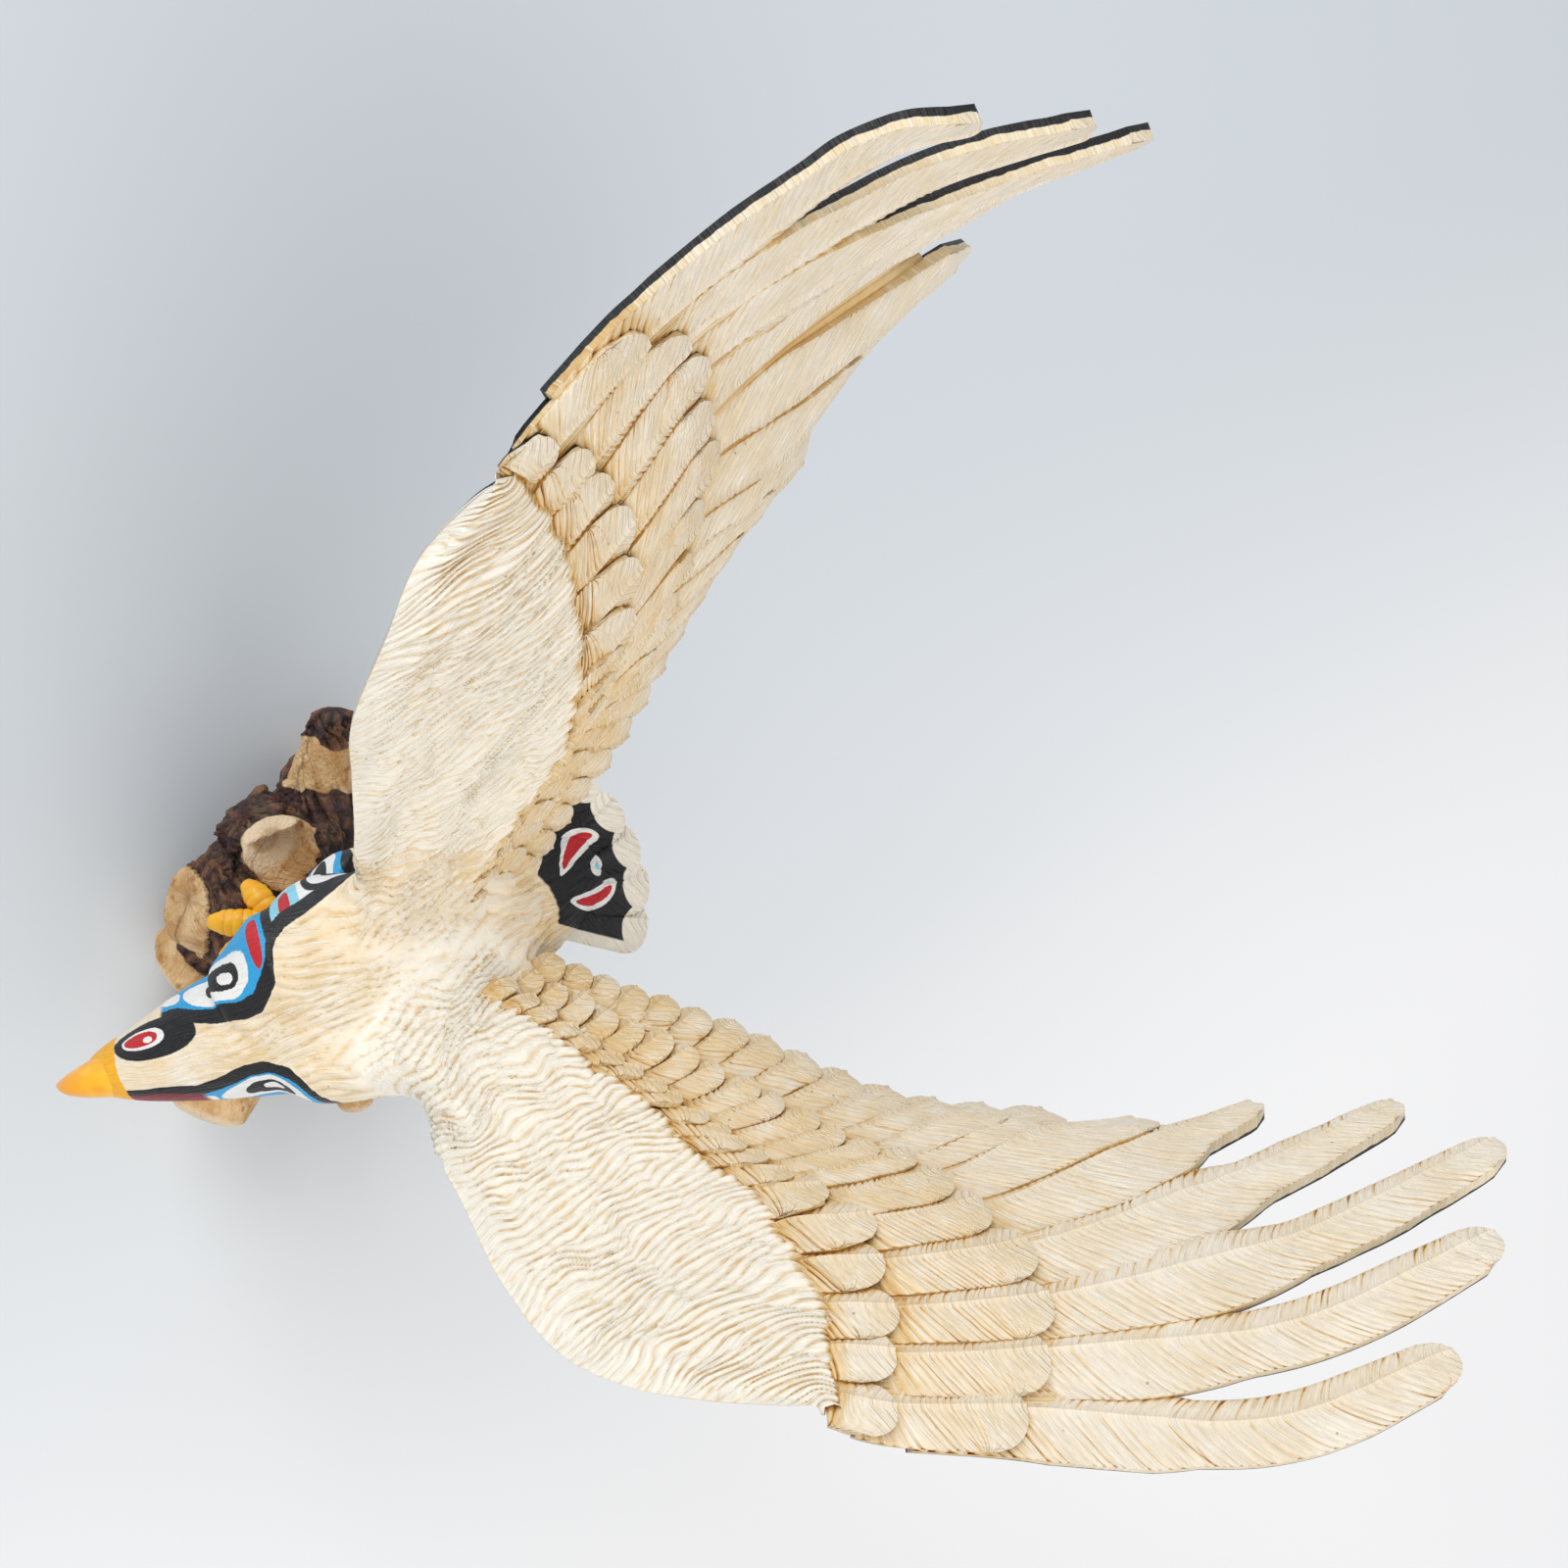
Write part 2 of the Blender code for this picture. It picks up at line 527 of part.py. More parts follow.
def cut_below(made, height):
    """Cut an object flat and close it at that height."""
    work = bmesh.new()
    work.from_mesh(made.data)
    bmesh.ops.bisect_plane(work, geom=work.verts[:] + work.edges[:] + work.faces[:], dist=1e-6,
                           plane_co=(0, 0, height * MM), plane_no=(0, 0, 1), clear_inner=True)
    rim = [edge for edge in work.edges if edge.is_boundary]
    bmesh.ops.triangle_fill(work, edges=rim, use_beauty=True, use_dissolve=False)
    bmesh.ops.triangulate(work, faces=work.faces)
    bmesh.ops.recalc_face_normals(work, faces=work.faces)
    work.to_mesh(made.data)
    work.free()


def seats(wood):
    """Flatten the top of the wood under both feet."""
    for side in (-1, 1):
        cutter_mesh = bpy.data.meshes.new("seat")
        work = bmesh.new()
        bmesh.ops.create_cube(work, size=1.0, matrix=Matrix.Diagonal((*(size * MM for size in SEAT), 1.0)))
        work.to_mesh(cutter_mesh)
        work.free()
        cutter = bpy.data.objects.new("seat", cutter_mesh)
        bpy.context.scene.collection.objects.link(cutter)
        x, y = SEAT_PLACE
        cutter.location = (side * x * MM, y * MM, (FOOT_PLANE - SEAT_GAP + SEAT[2] / 2) * MM)
        cutter.display_type = "WIRE"
        cutter.hide_render = True
        cut = wood.modifiers.new("seat", "BOOLEAN")
        cut.operation = "DIFFERENCE"
        cut.object = cutter
        evaluated(wood)
        bpy.data.objects.remove(cutter)


def main():
    for old in list(bpy.data.objects):
        bpy.data.objects.remove(old, do_unlink=True)

    eagle = joined("eagle", eagle_pieces())
    fuse(eagle, VOXEL)
    thin_out(eagle, EAGLE_TRIANGLES)
    cut_below(eagle, FOOT_PLANE)
    eagle.data.materials.append(material("cream_resin", (0.86, 0.78, 0.60), 0.55))

    wood = joined("driftwood_base", wood_pieces())
    fuse(wood, WOOD_VOXEL)
    thin_out(wood, WOOD_TRIANGLES)
    cut_below(wood, 0.0)
    seats(wood)
    wood.data.materials.append(material("driftwood", (0.16, 0.09, 0.06), 0.65))


main()
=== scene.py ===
"""Looks of the eagle figurine: carved feathers and fur, paint and bark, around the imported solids.

World frame: +Z up, the beak points to -Y, the bird's left wing is at +X, the origin is on the
underside of the driftwood. Lengths are millimetres until a mesh is made in metres.
"""

from math import cos, pi, radians, sin

import bmesh
import bpy
import numpy as np
from mathutils import Matrix
from mathutils.kdtree import KDTree


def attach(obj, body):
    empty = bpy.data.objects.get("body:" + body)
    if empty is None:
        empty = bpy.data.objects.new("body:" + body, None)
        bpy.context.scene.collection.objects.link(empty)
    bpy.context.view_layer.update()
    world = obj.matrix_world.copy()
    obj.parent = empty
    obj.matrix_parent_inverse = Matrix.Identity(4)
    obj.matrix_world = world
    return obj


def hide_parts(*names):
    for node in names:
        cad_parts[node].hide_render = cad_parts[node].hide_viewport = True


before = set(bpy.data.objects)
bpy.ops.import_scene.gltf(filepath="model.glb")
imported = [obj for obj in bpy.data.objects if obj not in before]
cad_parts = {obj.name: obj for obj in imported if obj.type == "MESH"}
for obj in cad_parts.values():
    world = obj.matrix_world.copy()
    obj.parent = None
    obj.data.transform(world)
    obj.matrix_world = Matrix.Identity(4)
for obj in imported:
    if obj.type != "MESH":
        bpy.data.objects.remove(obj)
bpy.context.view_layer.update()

MM = 0.001

# Camera: place, and the directions of its right, up and back
CAMERA_PLACE = (-77.36, -88.72, 336.80)
CAMERA_RIGHT = (0.32843833, 0.75869627, 0.56259065)
CAMERA_UP = (-0.90803539, 0.41758828, -0.03304186)
CAMERA_BACK = (-0.26, -0.5, 0.82607506)
CAMERA_LENS = 45.0
CAMERA_SENSOR = 36.0
MIDDLE_OF_BIRD = (0.0, 30.0, 110.0)

# Sizes of the cast, as the solids have them
FOOT_PLANE = 34.0
SEAT_GAP = 0.3
LEADING_EDGE = (
    (1, 51.6, -0.5, 148.5), (3, 47.0, -9.5, 141.0), (5, 43.0, -15.5, 134.5), (7, 38.5, -19.0, 126.0),
    (9, 31.5, -18.7, 115.5), (11, 24.0, -16.0, 105.0), (14, 15.0, -13.0, 91.5), (16, 5.0, -9.0, 80.0))
FUR_EDGE = (
    (1, 51.8, 2.0, 150.0), (3, 44.8, 6.6, 143.5), (5, 38.2, 10.0, 134.0), (8, 28.2, 10.2, 117.0),
    (11, 18.0, 8.0, 103.5), (14, 7.5, 4.0, 92.0), (16, 0.0, 1.0, 83.0))
FIRST_ROW = (
    (1, 55.5, 6.0, 153.4), (3, 49.3, 15.5, 148.3), (5, 41.5, 19.5, 140.0), (8, 32.4, 16.8, 121.5),
    (11, 21.6, 13.2, 106.2), (14, 8.8, 8.0, 92.2), (16, 0.0, 4.0, 83.0))
SECOND_ROW = (
    (1, 65.6, 21.0, 156.8), (3, 59.0, 33.8, 151.4), (5, 50.6, 38.5, 139.8), (8, 38.0, 30.6, 122.0),
    (11, 22.8, 21.5, 105.8), (14, 9.2, 12.6, 91.8), (16, 0.0, 7.0, 82.5))
MIDDLE = (
    (1, 78.0, 44.0, 172.0), (2, 72.4, 55.3, 168.5), (3, 67.5, 64.5, 161.8), (4, 62.8, 66.5, 150.0),
    (5, 57.0, 62.4, 139.4), (8, 41.4, 40.1, 120.4), (11, 23.3, 26.6, 104.2), (14, 8.8, 15.4, 91.0),
    (16, 0.0, 9.0, 82.5))
FEATHER_TIPS = (
    (1, 81.1, 69.9, 182.2), (2, 75.4, 87.5, 178.0), (3, 71.4, 101.8, 169.8), (4, 68.6, 102.3, 153.0),
    (5, 64.6, 90.1, 137.6), (6, 61.0, 76.1, 129.4), (7, 53.1, 63.1, 121.6), (8, 46.3, 51.7, 116.0),
    (11, 23.8, 31.4, 102.6), (14, 8.6, 17.4, 90.4), (16, 0.0, 11.0, 82.0))
ROWS = (LEADING_EDGE, FUR_EDGE, FIRST_ROW, SECOND_ROW, MIDDLE, FEATHER_TIPS)
ROW_PLACE = (0.0, 0.22, 0.36, 0.52, 0.74, 1.0)

WING_ARM = ((1, 4.6), (4, 7.4), (8, 9.6), (12, 11.5), (16, 13.0))    # thickest part, by feather number
WING_WEB = 2.3
FUR_STEP = 1.4
PARTING = (0.58, 0.60, 0.66, 0.69, 0.76)
RIGHT_PARTING = (0.58, 0.60, 0.66, 0.82, 0.94)

SHOULDER = (-8.0, -8.0, 84.0)
RIGHT_TWIST = ((1, 17.9), (4, -0.7), (7, 3.0), (10, 6.5), (13, 9.0), (16, 7.0))
RIGHT_INWARD = ((1, -0.2), (4, -1.4), (7, 5.4), (10, 2.6), (13, -0.3), (16, -0.2))
RIGHT_TIP_INWARD = ((1, 0.0), (2, 2.6), (3, 4.2), (5, 2.0), (7, 0.0))
RIGHT_TURN = (-5.2, -15.5, -1.0)
RIGHT_SHIFT = ((1, 5.6, 9.7, -4.7), (9, 5.6, 9.0, -4.7), (12, 4.6, 4.5, -5.4), (16, 5.5, 0.0, -6.0))
RIGHT_SCALE = 0.96
RIGHT_LONGER = ((1, 0.66), (2, 0.90), (3, 1.10), (4, 1.30), (5, 1.45), (6, 1.2), (8, 1.0))
# Bulge of the right wing's leading edge, by feather number
RIGHT_FRONT = ((1, 0.0), (5, 0.5), (7, 2.0), (9, 0.3), (11, -2.0), (14, -3.5), (16, -2.0))
RIGHT_FORWARD = (-0.33, -0.76, -0.56)

BODY = (
    (31.0, 79.5, 5.0, 2.5, 0.0), (24.0, 79.0, 8.0, 5.5, 4.0), (14.0, 77.5, 11.5, 9.5, 8.0),
    (3.0, 75.3, 14.0, 12.4, 14.0), (-8.0, 73.0, 14.0, 12.0, 20.0), (-16.5, 70.2, 12.0, 10.8, 24.0),
    (-23.5, 67.0, 9.6, 9.2, 26.0), (-30.0, 63.0, 7.6, 8.0, 30.0), (-35.5, 59.8, 5.4, 6.9, 30.0),
    (-39.5, 57.8, 3.8, 5.2, 24.0), (-42.0, 56.8, 2.4, 3.6, 16.0))
BEAK = (
    (-37.0, 59.2, 3.4, 4.5), (-40.0, 58.8, 3.2, 4.2), (-42.6, 57.6, 2.5, 3.4),
    (-44.8, 55.8, 1.5, 2.2), (-45.8, 53.8, 0.5, 0.8))
HEAD_TURN = ((-46.0, -36.0, -24.0, -8.0, 4.0), (-0.9, 0.4, 1.0, 0.8, 0.0))
SHOULDERS = ((9.0, -9.0, 75.0), (7.5, 9.0, 8.0))
SWELLING = ((3.5, -21.0, 71.0), (7.5, -16.5, 76.0))
SWELLING_JOINS = ((13.6, 4.5), (12.6, 5.0))
SWELLING_RADII = {-1: (7.5, 8.0, 5.6, 4.2), 1: (5.6, 6.4, 5.4, 4.2)}

TAIL_ROOT = (0.0, 15.0, 79.0)
TAIL_FEATHERS = 5
TAIL_SPREAD = radians(66.0)
TAIL_ANGLES = [TAIL_SPREAD * (i / (TAIL_FEATHERS - 1) - 0.5) for i in range(TAIL_FEATHERS)]
TAIL_LENGTH = 24.0
TAIL_HALF = 4.6
TAIL_LIFT = 0.04
TAIL_THICK = 2.4

TAIL_FIELD_END = 20.8        # painted field: its end, its half angle, and place and radius of the scallops
TAIL_FIELD_HALF = 0.70
TAIL_SCALLOP = (23.5, 4.2)

HIP = (-8.0, 3.0, 66.0)
KNEE = (-6.0, -2.0, 49.0)
ANKLE = (-3.8, -4.6, 37.5)
TOE_RADIUS = 2.1
TOE_SIDES = 28
SCALE_LENGTH = 1.25
TOES = ((-1.6, -13.2), (-7.8, -12.8), (-10.6, -5.2), (-4.0, 4.0))
LEFT_LEG_OUT = 3.0

WOOD_CORE = ((4.0, 4.0, 11.0), (19.0, 17.0, 15.0))
BRANCHES = (
    ((0.0, -1.0, 19.0), (-10.2, -11.6, 23.5), 8.5, 7.2),
    ((-4.0, 7.0, 24.0), (-15.0, 1.0, 36.0), 7.5, 5.4),
    ((-8.0, 6.0, 20.0), (-18.5, 1.6, 27.0), 8.5, 5.6),
    ((-6.0, 14.0, 18.0), (-28.0, 22.5, 25.0), 10.0, 3.4),
    ((7.0, 0.0, 13.0), (26.5, -21.5, 14.0), 10.5, 6.6),
    ((12.0, 6.0, 14.0), (38.6, 2.8, 13.0), 8.5, 2.9),
    ((4.0, 10.0, 12.0), (8.0, 37.0, 7.2), 13.0, 9.2),
    ((10.0, 8.0, 12.0), (28.0, 25.0, 6.0), 11.0, 7.6),
    ((-6.0, 10.0, 12.0), (-17.0, 29.0, 5.4), 10.0, 7.0),
    ((-9.0, -4.0, 24.5), (12.0, -2.0, 24.5), 9.5, 9.5),
    ((1.0, -4.0, 12.0), (4.0, -14.0, 5.6), 9.0, 7.0),
    ((-1.0, 2.0, 14.0), (2.0, 16.0, 24.0), 12.0, 8.0))
WOOD_RIDGE = 0.75
WOOD_LUMP = 2.1
# Bare tan wood by branch number: where it starts and ends, as lengths from the branch's end
BARE_WOOD = {0: (-2.0, 7.0), 1: (-2.0, 6.5), 3: (4.5, 12.0), 4: (-2.0, 11.0), 5: (-2.0, 6.0),
             6: (-2.0, 3.0), 7: (-2.0, 5.0), 8: (-2.0, 5.0), 10: (-2.0, 6.0)}
BRANCH_SIDES = 72

# Edges of the cream stripe over head and neck: (length from the beak end, distance down the side)
STRIPE_RIGHT = (
    (0, 7.0), (13.2, 7.6), (15.5, 7.0), (18.3, 5.7), (20.8, 4.9), (24.8, 4.1), (27.2, 4.4),
    (30.3, 6.6), (31.9, 10.2), (33.6, 11.8), (40, 14.5), (46, 17.0), (52, 20.0))
STRIPE_LEFT = (
    (0, 1.0), (5.7, 1.1), (9.8, 1.7), (14.9, 3.0), (17.5, 2.9), (21.9, 1.9), (24.3, 2.3),
    (27.1, 4.5), (29.5, 8.7), (32, 12.0), (35, 14.5), (40, 15.0), (46, 17.0), (52, 20.0))
PAINT_END = 46.0

# Carving of a feather. Places across it run from -1, its inner edge, to 1, its outer one
SHAFT = -0.30
SWEEP = 0.85                 # how far the barbs run forward, for each unit outwards
ROWS_PER_BARB = 4
GROOVE = np.array((1.0, 0.30, 0.0, 0.22))    # depth of the cut over the rows of one barb
UPPER = np.array((-1.0, -0.985, -0.86, -0.68, -0.50, -0.36, -0.30, -0.24,
                  -0.12, 0.05, 0.23, 0.41, 0.58, 0.74, 0.88, 0.985, 1.0))
LOWER = np.array((0.95, 0.5, 0.0, -0.5, -0.95))
RIM = 0.14                   # height of the rounded rim over the side of a feather
END_BARB_PITCH = 1.3         # distance between the barbs painted on a feather's end
RIGHT_LEAN = 0.65            # coverts of the right wing start that much nearer to the body than they end

# Fur
FUR_GRIDS = ((370, 100), (430, 110))    # loops and stations of the left and the right fur
FUR_END = 14.6               # feather number at which the fur of a wing ends inside the body
DARK_WEB_FROM = 5.5          # feather number from which the web's end between the feathers is black
FUR_LEAN = 0.28              # how far the strands run towards the wing tip, for each unit backwards
RIGHT_FUR_LEAN = 0.85
FUR_SEEDS = {"left": 13, "right": 25}
LOCK_LENGTH = 7.5
TUFT_SIZE = (8.0, 3.8)
TUFT_LEAN = 0.34
STRAND_WIDTH = 1.35
TRUNK_COARSE_VOXEL = 0.7
TRUNK_VOXEL = 0.41
WOOD_FINE_VOXEL = 0.62

# Lights: direction as the picture's right, up and back, then distance, size, power and colour
LIGHTS = {"key": ((-0.15, 0.80, 0.70), 1500, 1.0, 12.2, (1.0, 0.985, 0.96)),
          "fill": ((0.45, -0.60, 0.85), 1600, 1.6, 16.6, (1.0, 0.96, 0.90))}
WORLD_COLOUR = (0.95, 0.965, 1.0, 1.0)
WORLD_STRENGTH = 0.50
FLOOR_HALF = 3.0
FLOOR_LEVEL = -0.0002


def unit(vectors):
    return vectors / np.maximum(np.linalg.norm(vectors, axis=-1, keepdims=True), 1e-9)


def hermite(t, step, start, end, start_slope, end_slope):
    """Smooth curve from start to end, at t from 0 to 1."""
    return ((1 + 2 * t) * (1 - t) ** 2 * start + t * (1 - t) ** 2 * step * start_slope
            + t * t * (3 - 2 * t) * end + t * t * (t - 1) * step * end_slope)


def through(knots, values, at):
    """Smooth curve through values given at knots, read at the places in at, straight past its ends."""
    knots = np.asarray(knots, float)
    values = np.asarray(values, float)
    at = np.atleast_1d(np.asarray(at, float))
    slopes = np.gradient(values, knots, axis=0)
    inside = np.clip(at, knots[0], knots[-1])
    i = np.clip(np.searchsorted(knots, inside, side="right") - 1, 0, len(knots) - 2)
    step, beyond = knots[i + 1] - knots[i], at - inside
    t = (inside - knots[i]) / step
    if values.ndim > 1:
        step, t, beyond = step[:, None], t[:, None], beyond[:, None]
    curve = hermite(t, step, values[i], values[i + 1], slopes[i], slopes[i + 1])
    return curve + np.where(beyond < 0, slopes[0], slopes[-1]) * beyond


def wing_back(rows, feather, back):
    """Points on a wing's back: feather number, and 0 at the leading edge to 1 at the tips."""
    feather, back = np.broadcast_arrays(np.atleast_1d(feather), np.atleast_1d(back))
    flat, place = feather.ravel().astype(float), np.clip(back.ravel().astype(float), 0.0, 1.0)
    lines = np.stack([through([p[0] for p in row], [p[1:] for p in row], flat) for row in rows])
    slopes = np.gradient(lines, ROW_PLACE, axis=0)
    knots = np.asarray(ROW_PLACE)
    i = np.clip(np.searchsorted(knots, place, side="right") - 1, 0, len(knots) - 2)
    step = (knots[i + 1] - knots[i])[:, None]
    t = ((place - knots[i]) / step[:, 0])[:, None]
    n = np.arange(len(flat))
    points = hermite(t, step, lines[i, n], lines[i + 1, n], slopes[i, n], slopes[i + 1, n])
    return points.reshape(feather.shape + (3,))


def wing_frame(rows, feather, back):
    """Outward, backward and upward directions of a wing's back at those places."""
    small = 0.02
    outward = wing_back(rows, feather - small, back) - wing_back(rows, feather + small, back)
    ahead = np.clip(np.asarray(back) + small, 0.0, 1.0)
    behind = np.clip(np.asarray(back) - small, 0.0, 1.0)
    backward = unit(wing_back(rows, feather, ahead) - wing_back(rows, feather, behind))
    outward = unit(outward - (outward * backward).sum(-1, keepdims=True) * backward)
    hand = 1.0 if rows is ROWS else -1.0
    return outward, backward, hand * np.cross(outward, backward)


def turned(vectors, axis, degrees):
    """Vectors turned about a unit axis."""
    c, s = cos(radians(degrees)), sin(radians(degrees))
    return vectors * c + np.cross(axis, vectors) * s + axis * (vectors @ axis)[..., None] * (1 - c)


def table(pairs, feather):
    """Values of a table of (feather number, values) at one feather number."""
    columns = np.array(pairs, float).T
    return np.array([np.interp(feather, columns[0], column) for column in columns[1:]])


def right_rows():
    """Rows of the right wing."""
    rows = []
    for row in ROWS:
        made = []
        for number, *point in row:
            if row is FEATHER_TIPS:
                inner = wing_back(ROWS, number, ROW_PLACE[-2])[0]
                point = inner + (np.array(point) - inner) * table(RIGHT_LONGER, number)[0]
            pivot = wing_back(ROWS, number, ROW_PLACE[2])[0]
            span = unit(wing_back(ROWS, number - 0.3, ROW_PLACE[2])[0]
                        - wing_back(ROWS, number + 0.3, ROW_PLACE[2])[0])
            place = pivot + turned(np.array(point) - pivot, span, table(RIGHT_TWIST, number)[0])
            inward = table(RIGHT_INWARD, number)[0]
            if row in (MIDDLE, FEATHER_TIPS):
                inward += table(RIGHT_TIP_INWARD, number)[0] * (1.0 if row is FEATHER_TIPS else 0.5)
            place = place * (-1, 1, 1) + (inward, 0, 0) - SHOULDER
            for axis, degrees in enumerate(RIGHT_TURN):
                place = turned(place, np.eye(3)[axis], degrees)
            place = place * RIGHT_SCALE + SHOULDER + table(RIGHT_SHIFT, number)
            if row is LEADING_EDGE:
                place = place + table(RIGHT_FRONT, number)[0] * np.array(RIGHT_FORWARD)
            made.append((number, *place))
        rows.append(tuple(made))
    return tuple(rows)


def parting(rows):
    return PARTING if rows is ROWS else RIGHT_PARTING


def spacing(rows, number, places):
    """Distance between neighbouring feathers at those places on the row scale."""
    outer, inner = wing_back(rows, number - 0.5, places), wing_back(rows, number + 0.5, places)
    return np.linalg.norm(outer - inner, axis=1)


def step_up(values, low, high):
    """Smooth step from 0 at low to 1 at high."""
    t = np.clip((values - low) / (high - low), 0.0, 1.0)
    return t * t * (3 - 2 * t)


def run_along(points):
    """Length along a line of points, at each of them."""
    return np.concatenate([[0], np.cumsum(np.linalg.norm(np.diff(points, axis=0), axis=1))])


def lattice(i, j, k, seed):
    """Repeatable numbers from 0 to 1 for whole-number places."""
    mixed = (i * 374761393 + j * 668265263 + k * 1274126177 + seed * 982451653) & 0xFFFFFFFF
    mixed = ((mixed ^ (mixed >> 13)) * 1103515245 + 12345) & 0xFFFFFFFF
    mixed = ((mixed ^ (mixed >> 15)) * 668265263) & 0xFFFFFFFF
    return ((mixed ^ (mixed >> 16)) & 0xFFFFFF) / 0xFFFFFF


def grain(x, y, z=0.0, seed=0):
    """Smooth noise from -1 to 1, with bumps about one unit apart."""
    x, y, z = np.broadcast_arrays(x, y, z)
    cells, parts = [], []
    for values in (x, y, z):
        low = np.floor(values)
        part = values - low
        cells.append(low.astype(np.int64))
        parts.append(part * part * (3 - 2 * part))
    total = np.zeros(x.shape)
    for a in (0, 1):
        for b in (0, 1):
            for c in (0, 1):
                weight = ((parts[0] if a else 1 - parts[0]) * (parts[1] if b else 1 - parts[1])
                          * (parts[2] if c else 1 - parts[2]))
                total += weight * lattice(cells[0] + a, cells[1] + b, cells[2] + c, seed)
    return 2 * total - 1


def strands(along, across, width, sway, seed, fine=0.0):
    """Carved wavy locks that run along the first coordinate, each one pointed and over the start of
    the next: their height, and the place across them."""
    bend = sway * (grain(along / 6.0, across / 8.0, 0.3, seed)
                   + 0.4 * grain(along / 3.0, across / 6.0, 0.7, seed + 1))
    place = across + bend
    lean, shift, border, behind = tufts(along, place, seed + 6)
    phase = (place - TUFT_LEAN * lean * behind) / width + shift
    phase = phase + 0.6 * grain(along / 7.0, place / 5.0, 0.1, seed + 2)
    lock = np.floor(phase).astype(np.int64)
    run = along / LOCK_LENGTH + 7.0 * lattice(lock, 0 * lock, 0 * lock, seed + 5)
    part = run - np.floor(run)
    crest = np.abs(np.sin(pi * phase)) ** (0.7 + 1.2 * step_up(part, 0.55, 1.0))
    level = 0.60 + 0.40 * np.minimum(part / 0.35, 1.0) * (1 - 0.5 * step_up(part, 0.80, 1.0))
    varied = 0.5 + 0.5 * grain(along / 4.5, place / 2.0, 0.5, seed + 3)
    twist = place / (0.45 * width) + 0.8 * grain(along / 4.0, place / 1.5, 0.9, seed + 4)
    height = crest * level * (0.72 + 0.28 * varied) * (0.60 + 0.40 * step_up(border, 0.0, 0.22))
    return height + fine * np.abs(np.sin(pi * twist)) ** 0.7, place


def tufts(along, across, seed):
    """Tufts of fur: the lean and shift of the one at each place, how far its border is, and the
    length from its middle."""
    u, v = along / TUFT_SIZE[0], across / TUFT_SIZE[1]
    best, second = np.full(u.shape, 9.0), np.full(u.shape, 9.0)
    lean, shift, behind = np.zeros(u.shape), np.zeros(u.shape), np.zeros(u.shape)
    for a in (-1, 0, 1):
        for b in (-1, 0, 1):
            i = np.floor(u).astype(np.int64) + a
            j = np.floor(v).astype(np.int64) + b
            middle = i + 0.1 + 0.8 * lattice(i, j, 0 * i, seed)
            off = np.hypot(u - middle, v - (j + 0.1 + 0.8 * lattice(i, j, 0 * i + 1, seed)))
            closer = off < best
            second = np.where(closer, best, np.minimum(second, off))
            best = np.where(closer, off, best)
            lean = np.where(closer, 2 * lattice(i, j, 0 * i + 2, seed) - 1, lean)
            shift = np.where(closer, lattice(i, j, 0 * i + 3, seed), shift)
            behind = np.where(closer, (u - middle) * TUFT_SIZE[0], behind)
    return lean, shift, second - best, behind


def fur_places(rows, numbers, back):
    """Lengths along a wing's back: backwards from its leading edge, and outwards from its root."""
    fine = np.linspace(0, 0.3, 31)
    grid = wing_back(rows, numbers[:, None] + 0 * fine, fine + 0 * numbers[:, None])
    run = np.cumsum(np.linalg.norm(np.diff(grid, axis=1), axis=2), axis=1)
    run = np.concatenate([np.zeros((len(run), 1)), run], axis=1)
    along = np.stack([np.interp(back[i], fine, run[i]) for i in range(len(numbers))])
    root = np.arange(16.5, 0.0, -0.05)
    across = np.interp(-numbers, -root, run_along(wing_back(rows, root, 0.105)))
    return along, across[:, None] + 0 * along


def wing_strands(rows, along, across, seed):
    """Fur of a wing at those lengths, leaning towards the wing tip."""
    lean = FUR_LEAN if rows is ROWS else RIGHT_FUR_LEAN
    return strands(along, across - lean * along, STRAND_WIDTH, 1.9, seed, 0.06)


class Skin:
    """Collects closed pieces of one mesh, with named values at their points."""

    # Values kept at each point; the first is painted shade: how far the point lies in a crevice, groove or
    # under an overlapping part.
    NAMES = ("painted_shade", "rim", "under", "tone", "tip", "across", "flow", "side", "barbs")

    def __init__(self):
        self.points, self.faces, self.values, self.count = [], [], {name: [] for name in self.NAMES}, 0

    def add(self, points, faces, values):
        size = len(points)
        self.points.append(points)
        self.faces.extend(tuple(self.count + i for i in face) for face in faces)
        for name in self.NAMES:
            self.values[name].append(np.broadcast_to(values.get(name, 0.0), (size,)))
        self.count += size

    def made(self, name):
        mesh = bpy.data.meshes.new(name)
        mesh.from_pydata(np.concatenate(self.points) * MM, [], self.faces)
        put_values(mesh, {value_name: np.concatenate(parts) for value_name, parts in self.values.items()})
        return placed(name, mesh)


def put_values(mesh, values):
    """Store named values at the points of a mesh."""
    for name, numbers in values.items():
        layer = mesh.attributes.new(name, "FLOAT", "POINT")
        layer.data.foreach_set("value", np.ascontiguousarray(numbers, dtype=np.float32))


def linked(name, data):
    """New object in the scene."""
    made = bpy.data.objects.new(name, data)
    bpy.context.scene.collection.objects.link(made)
    return made


def placed(name, mesh):
    """Object with its faces turned outwards, in the scene."""
    work = bmesh.new()
    work.from_mesh(mesh)
    bmesh.ops.recalc_face_normals(work, faces=work.faces)
    work.to_mesh(mesh)
    work.free()
    return linked(name, mesh)


def ring_faces(rings, count):
    """Faces between rings of points, each closed on itself."""
    faces = []
    for i in range(rings - 1):
        low, high = i * count, (i + 1) * count
        for j in range(count):
            k = (j + 1) % count
            faces.append((low + j, low + k, high + k, high + j))
    return faces


class Line:
    """Centre line of a feather, read by the length along it."""

    def __init__(self, places, outward, upward):
        self.places, self.outward, self.upward = places, outward, upward
        self.run = run_along(places)
        self.length = self.run[-1]

    def read(self, values, at):
        return np.stack([np.interp(at, self.run, values[:, a]) for a in range(3)], axis=-1)


